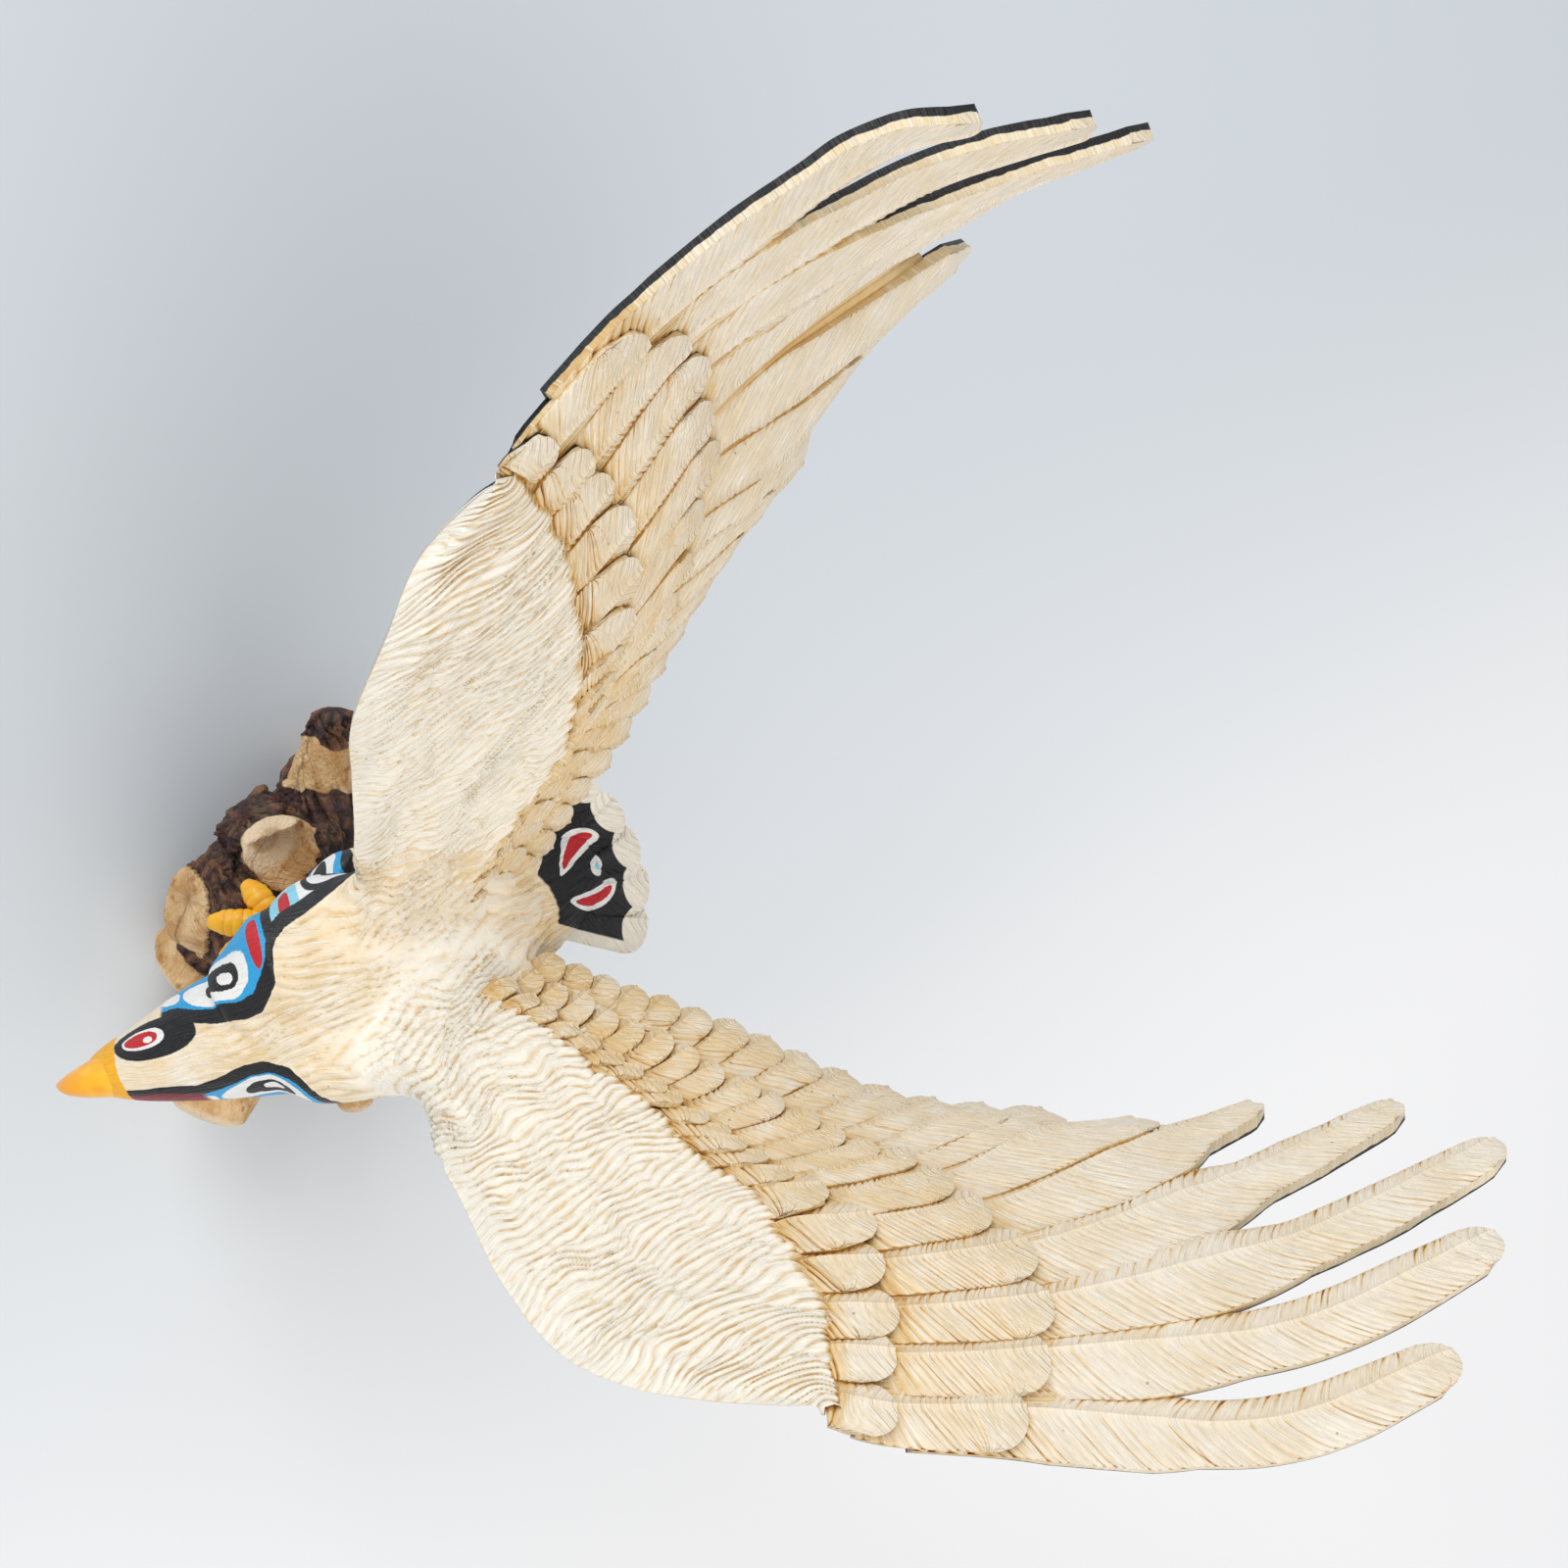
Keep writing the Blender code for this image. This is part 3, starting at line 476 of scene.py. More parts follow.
def blade(skin, line, half, lift, thick, pitch, depth, seen, tone, dice, tip=1.2, painted=(0.0, 0.0)):
    """Add one feather. half and lift are values along the line, pitch and depth are those of its barbs,
    seen is the length at which it comes out from under the row before it, and painted is how far its
    two sides, inner and outer, are painted like its underside."""
    barbs = max(6, int(round(line.length / pitch)))
    row = np.arange(barbs * ROWS_PER_BARB + 1)
    edges = np.concatenate([[0], np.cumsum(dice.uniform(0.7, 1.3, barbs))])
    edges *= line.length / edges[-1]
    start = np.interp(row / ROWS_PER_BARB, np.arange(barbs + 1), edges)[:, None]
    tip_half = half[-1]
    tip_length = tip_half * (SWEEP * (1 - SHAFT) + tip + 0.25)
    into_tip = np.clip((start - (line.length - tip_length)) / tip_length, 0, 1)
    across = np.concatenate([UPPER, (1.0, 1.0), LOWER[1:-1], (-1.0, -1.0)])[None, :]
    level = np.concatenate([np.zeros(len(UPPER)), (1, 2), np.full(len(LOWER) - 2, 3), (2, 1)])[None, :]
    width = np.interp(start, line.run, half)
    round_off = tip * (1 - np.sqrt(np.clip(1 - across ** 2, 0, 1)))
    from_shaft = np.abs(across - SHAFT)
    swept = SWEEP * from_shaft ** 1.25 * np.clip(start / 6.0, 0, 1)
    at = start + width * swept * (1 - into_tip) - into_tip * width * round_off
    at = np.clip(at, 0, line.length)
    width = np.interp(at, line.run, half)
    barb = at - width * swept

    outer = (across > SHAFT).astype(int)
    strength = dice.uniform(0.35, 1.3, (barbs + 1, 2))[row // ROWS_PER_BARB][:, outer[0]]
    split = (dice.random((barbs + 1, 2)) < 0.06)[row // ROWS_PER_BARB][:, outer[0]]
    profile = GROOVE[row % ROWS_PER_BARB][:, None]
    groove = profile * strength
    fresh = np.exp(-np.clip(at - seen, 0, None) / 1.8)
    cut = groove * np.clip(from_shaft / 0.10, 0, 1) * (1 + 0.6 * fresh)
    cut = cut + 0.8 * split * np.clip((np.abs(across) - 0.55) / 0.3, 0, 1) * profile
    cut = cut * (1 - into_tip)
    ridge = 0.32 * np.exp(-(from_shaft / 0.05) ** 2) - 0.12 * np.exp(-((from_shaft - 0.14) / 0.07) ** 2)
    wave = 0.16 * grain(at / 4.0, across * 1.6, seed=int(dice.integers(1000)))
    crown = 0.62 * (1 - across ** 2) + 0.35 * across
    into_end = np.clip((line.length - at) / 2.0 + 0.35, 0, 1)
    rim_fall = 0.10 * np.clip((np.abs(across) - 0.985) / 0.015, 0, 1)
    top = np.interp(at, line.run, lift) + crown * into_end + wave
    upper = top + ridge - depth * cut - rim_fall
    deep = thick * (0.8 + 0.2 * np.clip((line.length - at) / 6, 0, 1))
    lower = top - deep - 0.45 * (1 - across ** 2) - 0.3 * depth * groove
    height = np.select([level == 0, level == 1, level == 2], [upper, top - RIM, top - deep], lower)
    inset = np.select([level == 0, level == 2], [0.05 * groove * (np.abs(across) > 0.9), 0.06 + 0 * at], 0.0)

    points = (line.read(line.places, at)
              + line.read(line.outward, at) * (width * across * (1 - inset))[..., None]
              + line.read(line.upward, at) * height[..., None])
    # Painted shade: darker in the barb cuts, near the base where the feather comes out from under the row
    # before, and towards the inner edge that lies under the next feather; its sides and underside get some
    # too.
    inner_edge_shade = step_up(-across, 0.55, 1.0) * 0.40
    paint = np.where(across < 0, np.interp(at, line.run, np.broadcast_to(painted[0], half.shape)),
                     np.interp(at, line.run, np.broadcast_to(painted[1], half.shape)))
    painted_shade = 0.30 * cut * (0.6 + 0.4 * tone) + (0.26 + 0.36 * tone) * fresh + inner_edge_shade * (0.3 + 0.7 * tone)
    painted_shade = np.where(level == 0, painted_shade, 0.20 + 0.5 * fresh)
    below = np.select([level == 0, level == 1, level == 2], [0.0, 0.1 * paint, 0.70 + 0.30 * paint], 1.0)
    last = points[-1:].copy()
    down = line.read(line.upward, at[-1:])
    last[0, :len(UPPER)] -= down[0, :len(UPPER)] * RIM
    points = np.concatenate([points, last])
    rings, count = points.shape[:2]

    def spread(values, end=None):
        values = np.broadcast_to(values, (rings - 1, count))
        final = values[-1:] if end is None else np.full((1, count), end)
        return np.concatenate([values, final]).ravel()

    faces = ring_faces(rings, count)
    faces.append(tuple(range(count))[::-1])
    first = (rings - 1) * count
    top_end = len(UPPER) - 1
    step = top_end // (len(LOWER) - 1)
    for j in range(len(LOWER) - 1):
        chain = [first + step * j + i for i in range(step + 1)]
        right = first + top_end + 2 + (len(LOWER) - 2 - j)
        left = right + 1
        if j == len(LOWER) - 2:
            chain.append(first + top_end + 1)
        if j == 0:
            chain.insert(0, first + count - 1)
        faces.append(tuple(chain + [right, left]))
    skin.add(points.reshape(-1, 3), faces, {
        "painted_shade": spread(painted_shade),
        "rim": spread((level >= 1).astype(float), 1.0),
        "under": spread(below),
        "tone": spread(tone),
        "tip": spread(line.length - at + (0.0 if thick > 2.0 else 60.0)),
        "across": spread(width * across),
        "flow": spread(width * from_shaft),
        "side": spread(barb),
        "barbs": spread(into_tip * (level == 0))})


def wing_line(rows, number, start, end, lean=0.0):
    """Centre line of a feather on a wing. It starts that much nearer to the body than it ends."""
    places = np.linspace(start, end, 48)
    numbers = number + lean * np.linspace(1, 0, 48)
    outward, _, upward = wing_frame(rows, numbers, places)
    return Line(wing_back(rows, numbers, places), outward, upward), places


def feather_numbers():
    """Feather numbers with the gap to the next: whole at the wing tip, closer towards the body."""
    pairs = [(float(number), 1.0) for number in range(1, 7)]
    number = 6.8
    while number < 14.6:
        pairs.append((number, 0.62))
        number += 0.58
    return pairs


def finger_half(rows, number):
    """Half width of a feather beyond its parting from the next; those of the right wing lie closer."""
    halves = (4.2, 4.2, 4.2, 4.2, 4.2) if rows is ROWS else (4.2, 4.8, 5.6, 6.4, 6.0)
    return halves[int(number) - 1]


def flight(name, rows, seed):
    """The long feathers of a wing."""
    skin = Skin()
    dice = np.random.default_rng(seed)
    for number, gap in feather_numbers():
        start = 0.40
        end = 1.0 + (0.0 if number <= 5 else dice.uniform(-0.03, 0.0))
        line, places = wing_line(rows, number, start, end)
        half = 0.60 * gap * spacing(rows, number, places)
        if number <= len(PARTING):
            parted = np.clip((places - parting(rows)[int(number) - 1]) / 0.10, 0, 1)
            half = half * (1 - parted) + np.minimum(half, finger_half(rows, number)) * parted
            half = half * (1 - 0.22 * np.clip((places - 0.86) / 0.14, 0, 1))
        half = np.clip(half, 1.6, 5.0 if number == 1 else 6.6)
        lift = np.interp(places, (0.40, 0.7, 1.0), (-0.6, 0.1, 0.2)) + dice.uniform(-0.1, 0.1)
        tone = float(np.interp(number, (4, 7, 10, 14), (0.25, 0.5, 0.8, 1.0)))
        seen = float(np.interp(0.52, places, line.run))
        free = 0 * places
        if number <= len(PARTING):
            split = parting(rows)[int(number) - 1]
            free = step_up(places, split - 0.02, split + 0.06)
        outer = np.ones(len(places)) if number == 1 else free
        if rows is ROWS:
            free, outer = 0.0, 0.0
        blade(skin, line, half, lift, 2.4, 1.35 if rows is ROWS else 1.6, 0.30, seen, tone, dice,
              1.35 if number <= 5 else 1.1, (free, outer))
    return skin.made(name)


def coverts(name, rows, seed):
    """The two rows of short feathers that cover the roots of the long ones."""
    skin = Skin()
    dice = np.random.default_rng(seed)
    for first, last, rise, hidden, deep in ((0.30, 0.52, 1.0, 0.36, 0.28), (0.16, 0.36, 1.3, 0.24, 0.30)):
        for number, gap in feather_numbers():
            number += dice.uniform(-0.06, 0.06)
            end = last + dice.uniform(-0.012, 0.010)
            lean = 0.0 if rows is ROWS else RIGHT_LEAN * min(1.0, number / 3)
            line, places = wing_line(rows, number, first, end, lean)
            half = np.clip(0.60 * gap * spacing(rows, number, places), 1.3, 5.4)
            lift = np.linspace(-0.8, rise, len(places)) + dice.uniform(-0.2, 0.2)
            tone = float(np.interp(number, (2, 6, 10), (0.45, 0.8, 1.0)))
            seen = float(np.interp(hidden, places, line.run))
            blade(skin, line, half, lift, 1.4, 1.05, deep, seen, tone, dice)
    return skin.made(name)


def arm(number):
    return through([p[0] for p in WING_ARM], [p[1] for p in WING_ARM], number)


def wing_section(numbers, back, end):
    """Thickness of a wing's bare slab, and 1 on it down to 0 at its two rims."""
    thickest = arm(numbers.ravel())[:, None]
    x = np.clip(back / 0.8, 0, 1)
    section = 5 * (0.2969 * np.sqrt(x) - 0.126 * x - 0.3516 * x ** 2 + 0.2843 * x ** 3 - 0.1015 * x ** 4)
    rim = np.sqrt(np.clip(back / 0.03, 0, 1)) * np.sqrt(np.clip((end - back) / 0.02, 0, 1))
    return WING_WEB * rim + (thickest - WING_WEB) * section, rim


def fur(name, rows, seed):
    """The furry shoulder of a wing and the web under its feathers."""
    loops, stations = FUR_GRIDS[0 if rows is ROWS else 1]
    numbers = np.linspace(FUR_END, 0.75, loops)[:, None]
    inner = step_up(numbers, 11.9, 14.0)
    end = np.interp(numbers, (1, 2, 3, 4, 5, 7, 16), (*parting(rows), 0.93, 0.93))
    near = 0.25 * np.linspace(0, 1, stations)[None, :] ** 1.25
    near = near + 0.06 * inner * (1 - near / 0.25)
    far = 0.25 + (end - 0.25) * np.linspace(0, 1, 10)[None, 1:]
    back = np.concatenate([near, far], axis=1)
    beneath = end * (1 - np.cos(np.linspace(pi, 0, 22)[None, 1:-1])) / 2
    beneath = np.maximum(beneath, 0.06 * inner)
    top, upward = wing_back(rows, numbers, back), wing_frame(rows, numbers, back)[2]
    low, low_up = wing_back(rows, numbers, beneath), wing_frame(rows, numbers, beneath)[2]

    along, across = fur_places(rows, numbers[:, 0], back)
    start = across[:, :1]
    ragged = 0.236 + 0.010 * grain(start / 2.6, 0.0, seed=seed) + 0.008 * grain(start / 1.0, 0.5, seed=seed)
    hair, place = wing_strands(rows, along, across, seed)
    on_fur = np.clip((back - 0.004) / 0.03, 0, 1) * np.clip((ragged - back + 0.010 * hair) / 0.016, 0, 1)
    deep, rim = wing_section(numbers, back, end)
    sunk = np.minimum(2.2, 0.35 * deep) * inner
    relief = FUR_STEP * on_fur + (0.15 + 0.85 * on_fur) * 0.95 * (hair - 0.85) - 0.5 * (1 - rim) - sunk
    upper = top + upward * relief[..., None]
    deep, rim = wing_section(numbers, beneath, end)
    sunk = np.minimum(1.2, 0.2 * deep) * inner
    lower = low - low_up * (deep * 0.92 + 0.5 * (1 - rim) - sunk)[..., None]
    points, faces = tube(np.concatenate([upper, lower], axis=1))
    edge = step_up(back, ragged - 0.018, ragged)
    # Painted shade in the valleys between the strands and along the fur's ragged edge over the coverts.
    painted_shade = np.clip((0.60 - hair) / 0.60, 0, 1) * 0.42 + 0.60 * edge * (1 - 0.4 * hair)
    dark = step_up(beneath, 0.0, 0.02)
    web = step_up(back / end, 0.95, 0.99) * (numbers > DARK_WEB_FROM)

    def both(above, below):
        return np.concatenate([above + 0 * back, below + 0 * beneath], axis=1).ravel()

    skin = Skin()
    skin.add(points, faces, {
        "painted_shade": both(painted_shade, 0), "under": both(web, dark), "tone": both(0.06 + 0.6 * edge, 0),
        "tip": both(0, beneath * 60), "across": both(0, numbers * 6),
        "flow": both(along, beneath * 60), "side": both(place, numbers * 6)})
    return skin.made(name)


def oval(centre, across, up, half_width, half_height, count):
    angles = np.linspace(0, 2 * pi, count, endpoint=False)
    return (np.asarray(centre) + np.outer(np.cos(angles) * half_width, across)
            + np.outer(np.sin(angles) * half_height, up))


def tube(loops):
    """Closed body through a list of loops of points, with its two ends closed."""
    loops = np.stack([np.asarray(loop, float) for loop in loops])
    rings, count = loops.shape[:2]
    faces = ring_faces(rings, count)
    faces.append(tuple(range(count))[::-1])
    faces.append(tuple(range((rings - 1) * count, rings * count)))
    return loops.reshape(-1, 3), faces


def fused(name, pieces, voxel, smoothing):
    """One skin around closed pieces that overlap."""
    points, faces, count = [], [], 0
    for piece_points, piece_faces in pieces:
        points.append(np.asarray(piece_points) * MM)
        faces.extend(tuple(count + i for i in face) for face in piece_faces)
        count += len(piece_points)
    mesh = bpy.data.meshes.new(name)
    mesh.from_pydata(np.concatenate(points), [], faces)
    made = placed(name, mesh)
    remeshed(made, voxel, smoothing)
    return made


def remeshed(made, voxel, smoothing):
    """Replace an object's mesh by one even skin around its closed pieces, slightly smoothed."""
    remesh = made.modifiers.new("fuse", "REMESH")
    remesh.mode = "VOXEL"
    remesh.voxel_size = voxel * MM
    soft = made.modifiers.new("soften", "SMOOTH")
    soft.factor = 0.5
    soft.iterations = smoothing
    graph = bpy.context.evaluated_depsgraph_get()
    mesh = bpy.data.meshes.new_from_object(made.evaluated_get(graph))
    made.modifiers.clear()
    old, made.data = made.data, mesh
    bpy.data.meshes.remove(old)


def read_points(mesh):
    """Points and normals of a mesh, in millimetres."""
    points = np.empty(len(mesh.vertices) * 3)
    normals = np.empty(len(mesh.vertices) * 3)
    mesh.vertices.foreach_get("co", points)
    mesh.vertices.foreach_get("normal", normals)
    return points.reshape(-1, 3) / MM, normals.reshape(-1, 3)


def write_points(mesh, points):
    mesh.vertices.foreach_set("co", (points * MM).ravel())
    mesh.update()


def turn(y):
    """Sideways shift of the neck and head at that place along the body."""
    return np.interp(y, HEAD_TURN[0], HEAD_TURN[1])


def body_slices(count):
    """Slices of the body: their centre, up direction and half sizes."""
    values = through(np.arange(len(BODY)), BODY, np.linspace(0, len(BODY) - 1, count))
    lean = np.radians(values[:, 4])
    centre = np.stack([turn(values[:, 0]), values[:, 0], values[:, 1]], axis=1)
    up = np.stack([np.zeros(count), -np.sin(lean), np.cos(lean)], axis=1)
    return centre, up, np.maximum(values[:, 2:4], 0.6)


def body_piece():
    centre, up, half = body_slices(60)
    return tube([oval(centre[i], (1.0, 0.0, 0.0), up[i], *half[i], 48) for i in range(len(centre))])


def body_places(points):
    """Length from the beak end along the spine, and signed distance around from the top, of points."""
    centre, up, half = body_slices(120)
    spine = run_along(centre)
    spine = spine[-1] - spine
    backward = np.stack([np.zeros(len(up)), up[:, 2], -up[:, 1]], axis=1)
    off = points @ backward.T - (centre * backward).sum(1)
    nearest = np.abs(off) + 0.02 * np.linalg.norm(points[:, None, :] - centre[None], axis=2)
    i = nearest.argmin(axis=1)
    along = spine[i] + off[np.arange(len(points)), i]
    away = points - centre[i]
    angle = np.arctan2(away[:, 0], (away * up[i]).sum(1))
    return along, angle * 0.5 * (half[i, 0] + half[i, 1])


def ball(centre, radii):
    """Closed ovoid."""
    loops = []
    for s in np.linspace(-0.98, 0.98, 12):
        ring = cos(np.arcsin(s))
        loops.append(oval((centre[0], centre[1], centre[2] + radii[2] * s), (1, 0, 0), (0, 1, 0),
                          radii[0] * ring, radii[1] * ring, 48))
    return tube(loops)


def limb(points, radii, count):
    """Bar through points, with a radius for each point, or for each place around it."""
    points = np.asarray(points, float)
    along = unit(np.gradient(points, axis=0))
    loops = []
    for i, (point, direction) in enumerate(zip(points, along)):
        side = unit(np.cross(direction, (0.31, 0.17, 0.93)))
        up = np.cross(side, direction)
        loops.append(oval(point, side, up, radii[i], radii[i], count))
    return tube(loops)


def inner_wing(rows):
    """The root of a wing, so that the fur of body and wing grow into each other. Its outer end
    lies inside the wing's own fur."""
    numbers = np.linspace(15.8, 9.6, 32)[:, None]
    outer = 1 - step_up(numbers, 9.9, 12.2)
    back = 0.93 * (1 - np.cos(np.linspace(0, pi, 34)[None, :])) / 2
    back = np.maximum(back + 0 * numbers, 0.05 * outer)
    thick, rim = wing_section(numbers, back, 0.93)
    top, upward = wing_back(rows, numbers, back), wing_frame(rows, numbers, back)[2]
    proud = FUR_STEP * np.clip((back - 0.01) / 0.03, 0, 1) * np.clip((0.26 - back) / 0.05, 0, 1)
    upper = top + upward * (proud + 0.25 - 0.5 * (1 - rim) - 1.9 * outer)[..., None]
    lower = top - upward * (thick * 0.92 + 0.5 * (1 - rim) - 1.0 * outer)[..., None]
    return tube(np.concatenate([upper, lower[:, 1:-1][:, ::-1]], axis=1))


def on_side(points, side):
    """Points of the right leg, or those points of the left one."""
    return points * (-1, 1, 1) + (LEFT_LEG_OUT, 0, 0) if side > 0 else points


def thigh(side):
    hip, knee = np.array(HIP), np.array(KNEE)
    points = np.array([hip + (knee - hip) * t for t in (0, 0.35, 0.7, 1.0, 1.1)])
    return limb(on_side(points, side), (7.0, 7.2, 5.4, 3.6, 2.2), 32)


def relaxed(points, edges, weight, rounds):
    """Points drawn towards their neighbours, by a weight from 0 to 1."""
    ends = np.concatenate([edges[:, 0], edges[:, 1]])
    others = np.concatenate([edges[:, 1], edges[:, 0]])
    neighbours = np.maximum(np.bincount(ends, minlength=len(points)), 1)[:, None]
    for _ in range(rounds):
        total = np.stack([np.bincount(ends, points[others, a], len(points)) for a in range(3)], axis=1)
        points = points + 0.5 * weight[:, None] * (total / neighbours - points)
    return points


def shoulder(rows, side):
    """Swelling that leads from the neck into the leading edge of a wing."""
    path = [np.array(place) * (side, 1, 1) for place in SWELLING]
    for number, depth in SWELLING_JOINS:
        path.append(wing_back(rows, number, 0.10)[0] - (0, 0, depth))
    return limb(path, SWELLING_RADII[side], 28)


def trunk(name, right):
    """Head, neck, back, breast and thighs in one skin."""
    centre, radii = SHOULDERS
    pieces = [body_piece(), thigh(-1), thigh(1), inner_wing(ROWS), inner_wing(right)]
    for side, rows in ((-1, right), (1, ROWS)):
        pieces.append(ball((side * centre[0], centre[1], centre[2]), radii))
        pieces.append(shoulder(rows, side))
    made = fused(name, pieces, TRUNK_COARSE_VOXEL, 4)
    points, _ = read_points(made.data)
    edges = np.empty(len(made.data.edges) * 2, dtype=np.int32)
    made.data.edges.foreach_get("vertices", edges)
    near_root = np.zeros(len(points))
    for rows in (ROWS, right):
        for number, place in ((14.6, 0.0), (14.6, 0.2), (14.6, 0.5)):
            root = wing_back(rows, number, place)[0]
            near_root = np.maximum(near_root, 1 - step_up(np.linalg.norm(points - root, axis=1), 5.0, 11.0))
    write_points(made.data, relaxed(points, edges.reshape(-1, 2), near_root, 100))
    remeshed(made, TRUNK_VOXEL, 5)
    points, normals = read_points(made.data)
    along, around = body_places(points)
    hair, place = strands(along, around, 1.45, 1.1, 40)
    below = below_stripe(along, around)
    painted = step_up(below, -0.6, 0.2) * (1 - step_up(along, PAINT_END - 0.5, PAINT_END + 0.5))
    calm = (1 - 0.9 * painted) * (0.30 + 0.70 * step_up(along, 10.0, 24.0))
    calm = calm * (1 - 0.6 * step_up(points[:, 1], 19.0, 22.0))
    height = 0.50 + 0.40 * step_up(along, 26.0, 38.0)
    warm = 0.75 + 0.25 * step_up(along, 22.0, 44.0)
    flow, smooth = along, 0 * along
    for rows, seed in ((ROWS, FUR_SEEDS["left"]), (right, FUR_SEEDS["right"])):
        wing_along, wing_across, apart = nearest_fur(rows, points)
        wing_hair, wing_place = wing_strands(rows, wing_along, wing_across, seed)
        close = 1 - step_up(apart, 2.5, 7.0)
        hair = hair + (wing_hair - hair) * close
        height = height + (0.95 - height) * close
        calm = calm + (1 - painted - calm) * close
        warm = warm + (0.06 - warm) * (1 - step_up(apart, 3.0, 14.0)) * (1 if rows is ROWS else 0.5)
        smooth = np.maximum(smooth, 1 - step_up(np.abs(close - 0.5), 0.15, 0.42))
        place = np.where(close > 0.5, wing_place, place)
        flow = np.where(close > 0.5, wing_along, flow)
    write_points(made.data, points + normals * (height * (hair - 0.8) * calm)[:, None])
    # The values below include painted shade in the valleys between the strands.
    put_values(made.data, {
        "painted_shade": np.clip((0.60 - hair) / 0.60, 0, 1) * 0.45 * calm, "rim": 0 * along, "tone": warm,
        "tip": along, "across": below, "flow": flow, "side": place, "around": around, "smooth": smooth})
    return made


def nearest_fur(rows, points):
    """Fur lengths of a wing's back at its place nearest to each point, and the distance to it."""
    numbers = np.arange(16.0, 9.0, -0.03)
    back = np.broadcast_to(np.linspace(0, 0.3, 90), (len(numbers), 90))
    along, across = fur_places(rows, numbers, back)
    places = wing_back(rows, numbers[:, None] + 0 * back, back).reshape(-1, 3)
    tree = KDTree(len(places))
    for i, place in enumerate(places):
        tree.insert(place, i)
    tree.balance()
    near = np.linalg.norm(points - places[len(places) // 2], axis=1) < 40.0
    found = np.zeros(len(points), int)
    apart = np.full(len(points), 99.0)
    for i in np.flatnonzero(near):
        _, found[i], apart[i] = tree.find(points[i])
    return along.ravel()[found], across.ravel()[found], apart


def below_stripe(along, around):
    """Distance down the side from the cream stripe's edge, on both sides of the head and neck."""
    right_edge = np.interp(along, *np.array(STRIPE_RIGHT).T)
    left_edge = np.interp(along, *np.array(STRIPE_LEFT).T)
    return np.maximum(-around - right_edge, around - left_edge)


def beak(name):
    """The beak, hooked over its lower half, with a carved mouth line."""
    values = through(np.arange(len(BEAK)), BEAK, np.linspace(0, len(BEAK) - 1, 40))
    angles = np.linspace(0, 2 * pi, 48, endpoint=False)
    mouth = 0.28 * np.exp(-((np.sin(angles) + 0.28) / 0.10) ** 2)[:, None]
    loops = []
    for i, (y, z, wide, high) in enumerate(values):
        lean = radians(10 + 60 * (i / 39) ** 2)
        up = np.array((0.0, -sin(lean), cos(lean)))
        loop = oval((float(turn(y)), y, z), (1.0, 0.0, 0.0), up, max(wide, 0.5), max(high, 0.5), 48)
        loops.append(loop - unit(loop - loop.mean(axis=0)) * mouth * (1 if i < 30 else 0))
    points, faces = tube(loops)
    skin = Skin()
    skin.add(points, faces, {"tip": points[:, 1]})
    return skin.made(name)


def tail(name):
    """A fan of round-ended feathers from the rump."""
    skin = Skin()
    dice = np.random.default_rng(77)
    root = np.array(TAIL_ROOT)
    for i, angle in enumerate(TAIL_ANGLES):
        along = unit(np.array((sin(angle), cos(angle), TAIL_LIFT)))
        across = unit(np.array((cos(angle), -sin(angle), 0.0)))
        up = np.cross(across, along)
        s = np.linspace(0, 1, 30)
        places = root + np.outer(s * TAIL_LENGTH, along) + up * (0.35 * (i % 2))
        line = Line(places, np.tile(across, (30, 1)), np.tile(up, (30, 1)))
        half = TAIL_HALF * (0.45 + 0.55 * s)
        blade(skin, line, half, np.full(30, 0.1), TAIL_THICK, 1.15, 0.11, -9.0, 0.1, dice, 0.9)
    return skin.made(name)


def toe(path, radii):
    """A toe or shank with rings of scales, and how deep it is cut at each point."""
    run = run_along(path)
    count = int(run[-1] / 0.22)
    at = np.linspace(0, run[-1], count)
    ring = np.sin(pi * ((at / SCALE_LENGTH) % 1.0)) ** 0.5
    fade = np.clip((run[-1] - at) / 2.5, 0, 1)
    angles = np.linspace(0, 2 * pi, TOE_SIDES, endpoint=False)
    lobes = 0.05 * np.cos(angles * 5 + np.arange(count)[:, None] * 0.4) * fade[:, None]
    radius = through(run, radii, at) + (0.22 * ring - 0.12) * fade
    points, faces = limb(through(run, path, at), radius[:, None] + lobes, TOE_SIDES)
    return points, faces, np.repeat((1 - ring) * fade, TOE_SIDES)


def feet(name):
    """Scaly shanks and toes of both legs."""
    skin = Skin()
    knee, ankle = np.array(KNEE), np.array(ANKLE)
    paths = [([knee + (ankle - knee) * t for t in (-0.2, 0.3, 0.8, 1.1)], (2.6, 2.3, 2.4, 2.2))]
    for x, y in TOES:
        claw = np.array((x, y, FOOT_PLANE + 0.6))
        knuckle = ankle + (claw - ankle) * 0.45 + np.array((0, 0, 1.6))
        path = [ankle, (ankle + knuckle) / 2 + (0, 0, 0.4), knuckle,
                claw + (knuckle - claw) * 0.35 + (0, 0, 0.3), claw]
        paths.append((path, (TOE_RADIUS, 2.0, TOE_RADIUS, 1.9, 1.1)))
    for side in (-1, 1):
        for path, radii in paths:
            points, faces, groove = toe(path, radii)
            points[:, 2] = np.maximum(points[:, 2], FOOT_PLANE)
            # Painted shade in the grooves between the rings of scales.
            skin.add(on_side(points, side), faces, {"painted_shade": groove})
    return skin.made(name)


def bare_part(branch, left, waver=0.0):
    """1 on the bare wood of a branch, by the length left to its end."""
    if branch not in BARE_WOOD:
        return 0.0 * left
    start, end = BARE_WOOD[branch]
    left = left + waver
    return step_up(left, start - 0.8, start + 0.8) * (1 - step_up(left, end - 0.8, end + 0.8))


def branch_frame(start, end):
    """Start and length of a branch, and its directions: along it, sideways and up."""
    start, end = np.array(start), np.array(end)
    length = np.linalg.norm(end - start)
    direction = (end - start) / length
    side = unit(np.cross(direction, (0.2, 0.1, 0.97)))
    return start, length, direction, side, np.cross(side, direction)


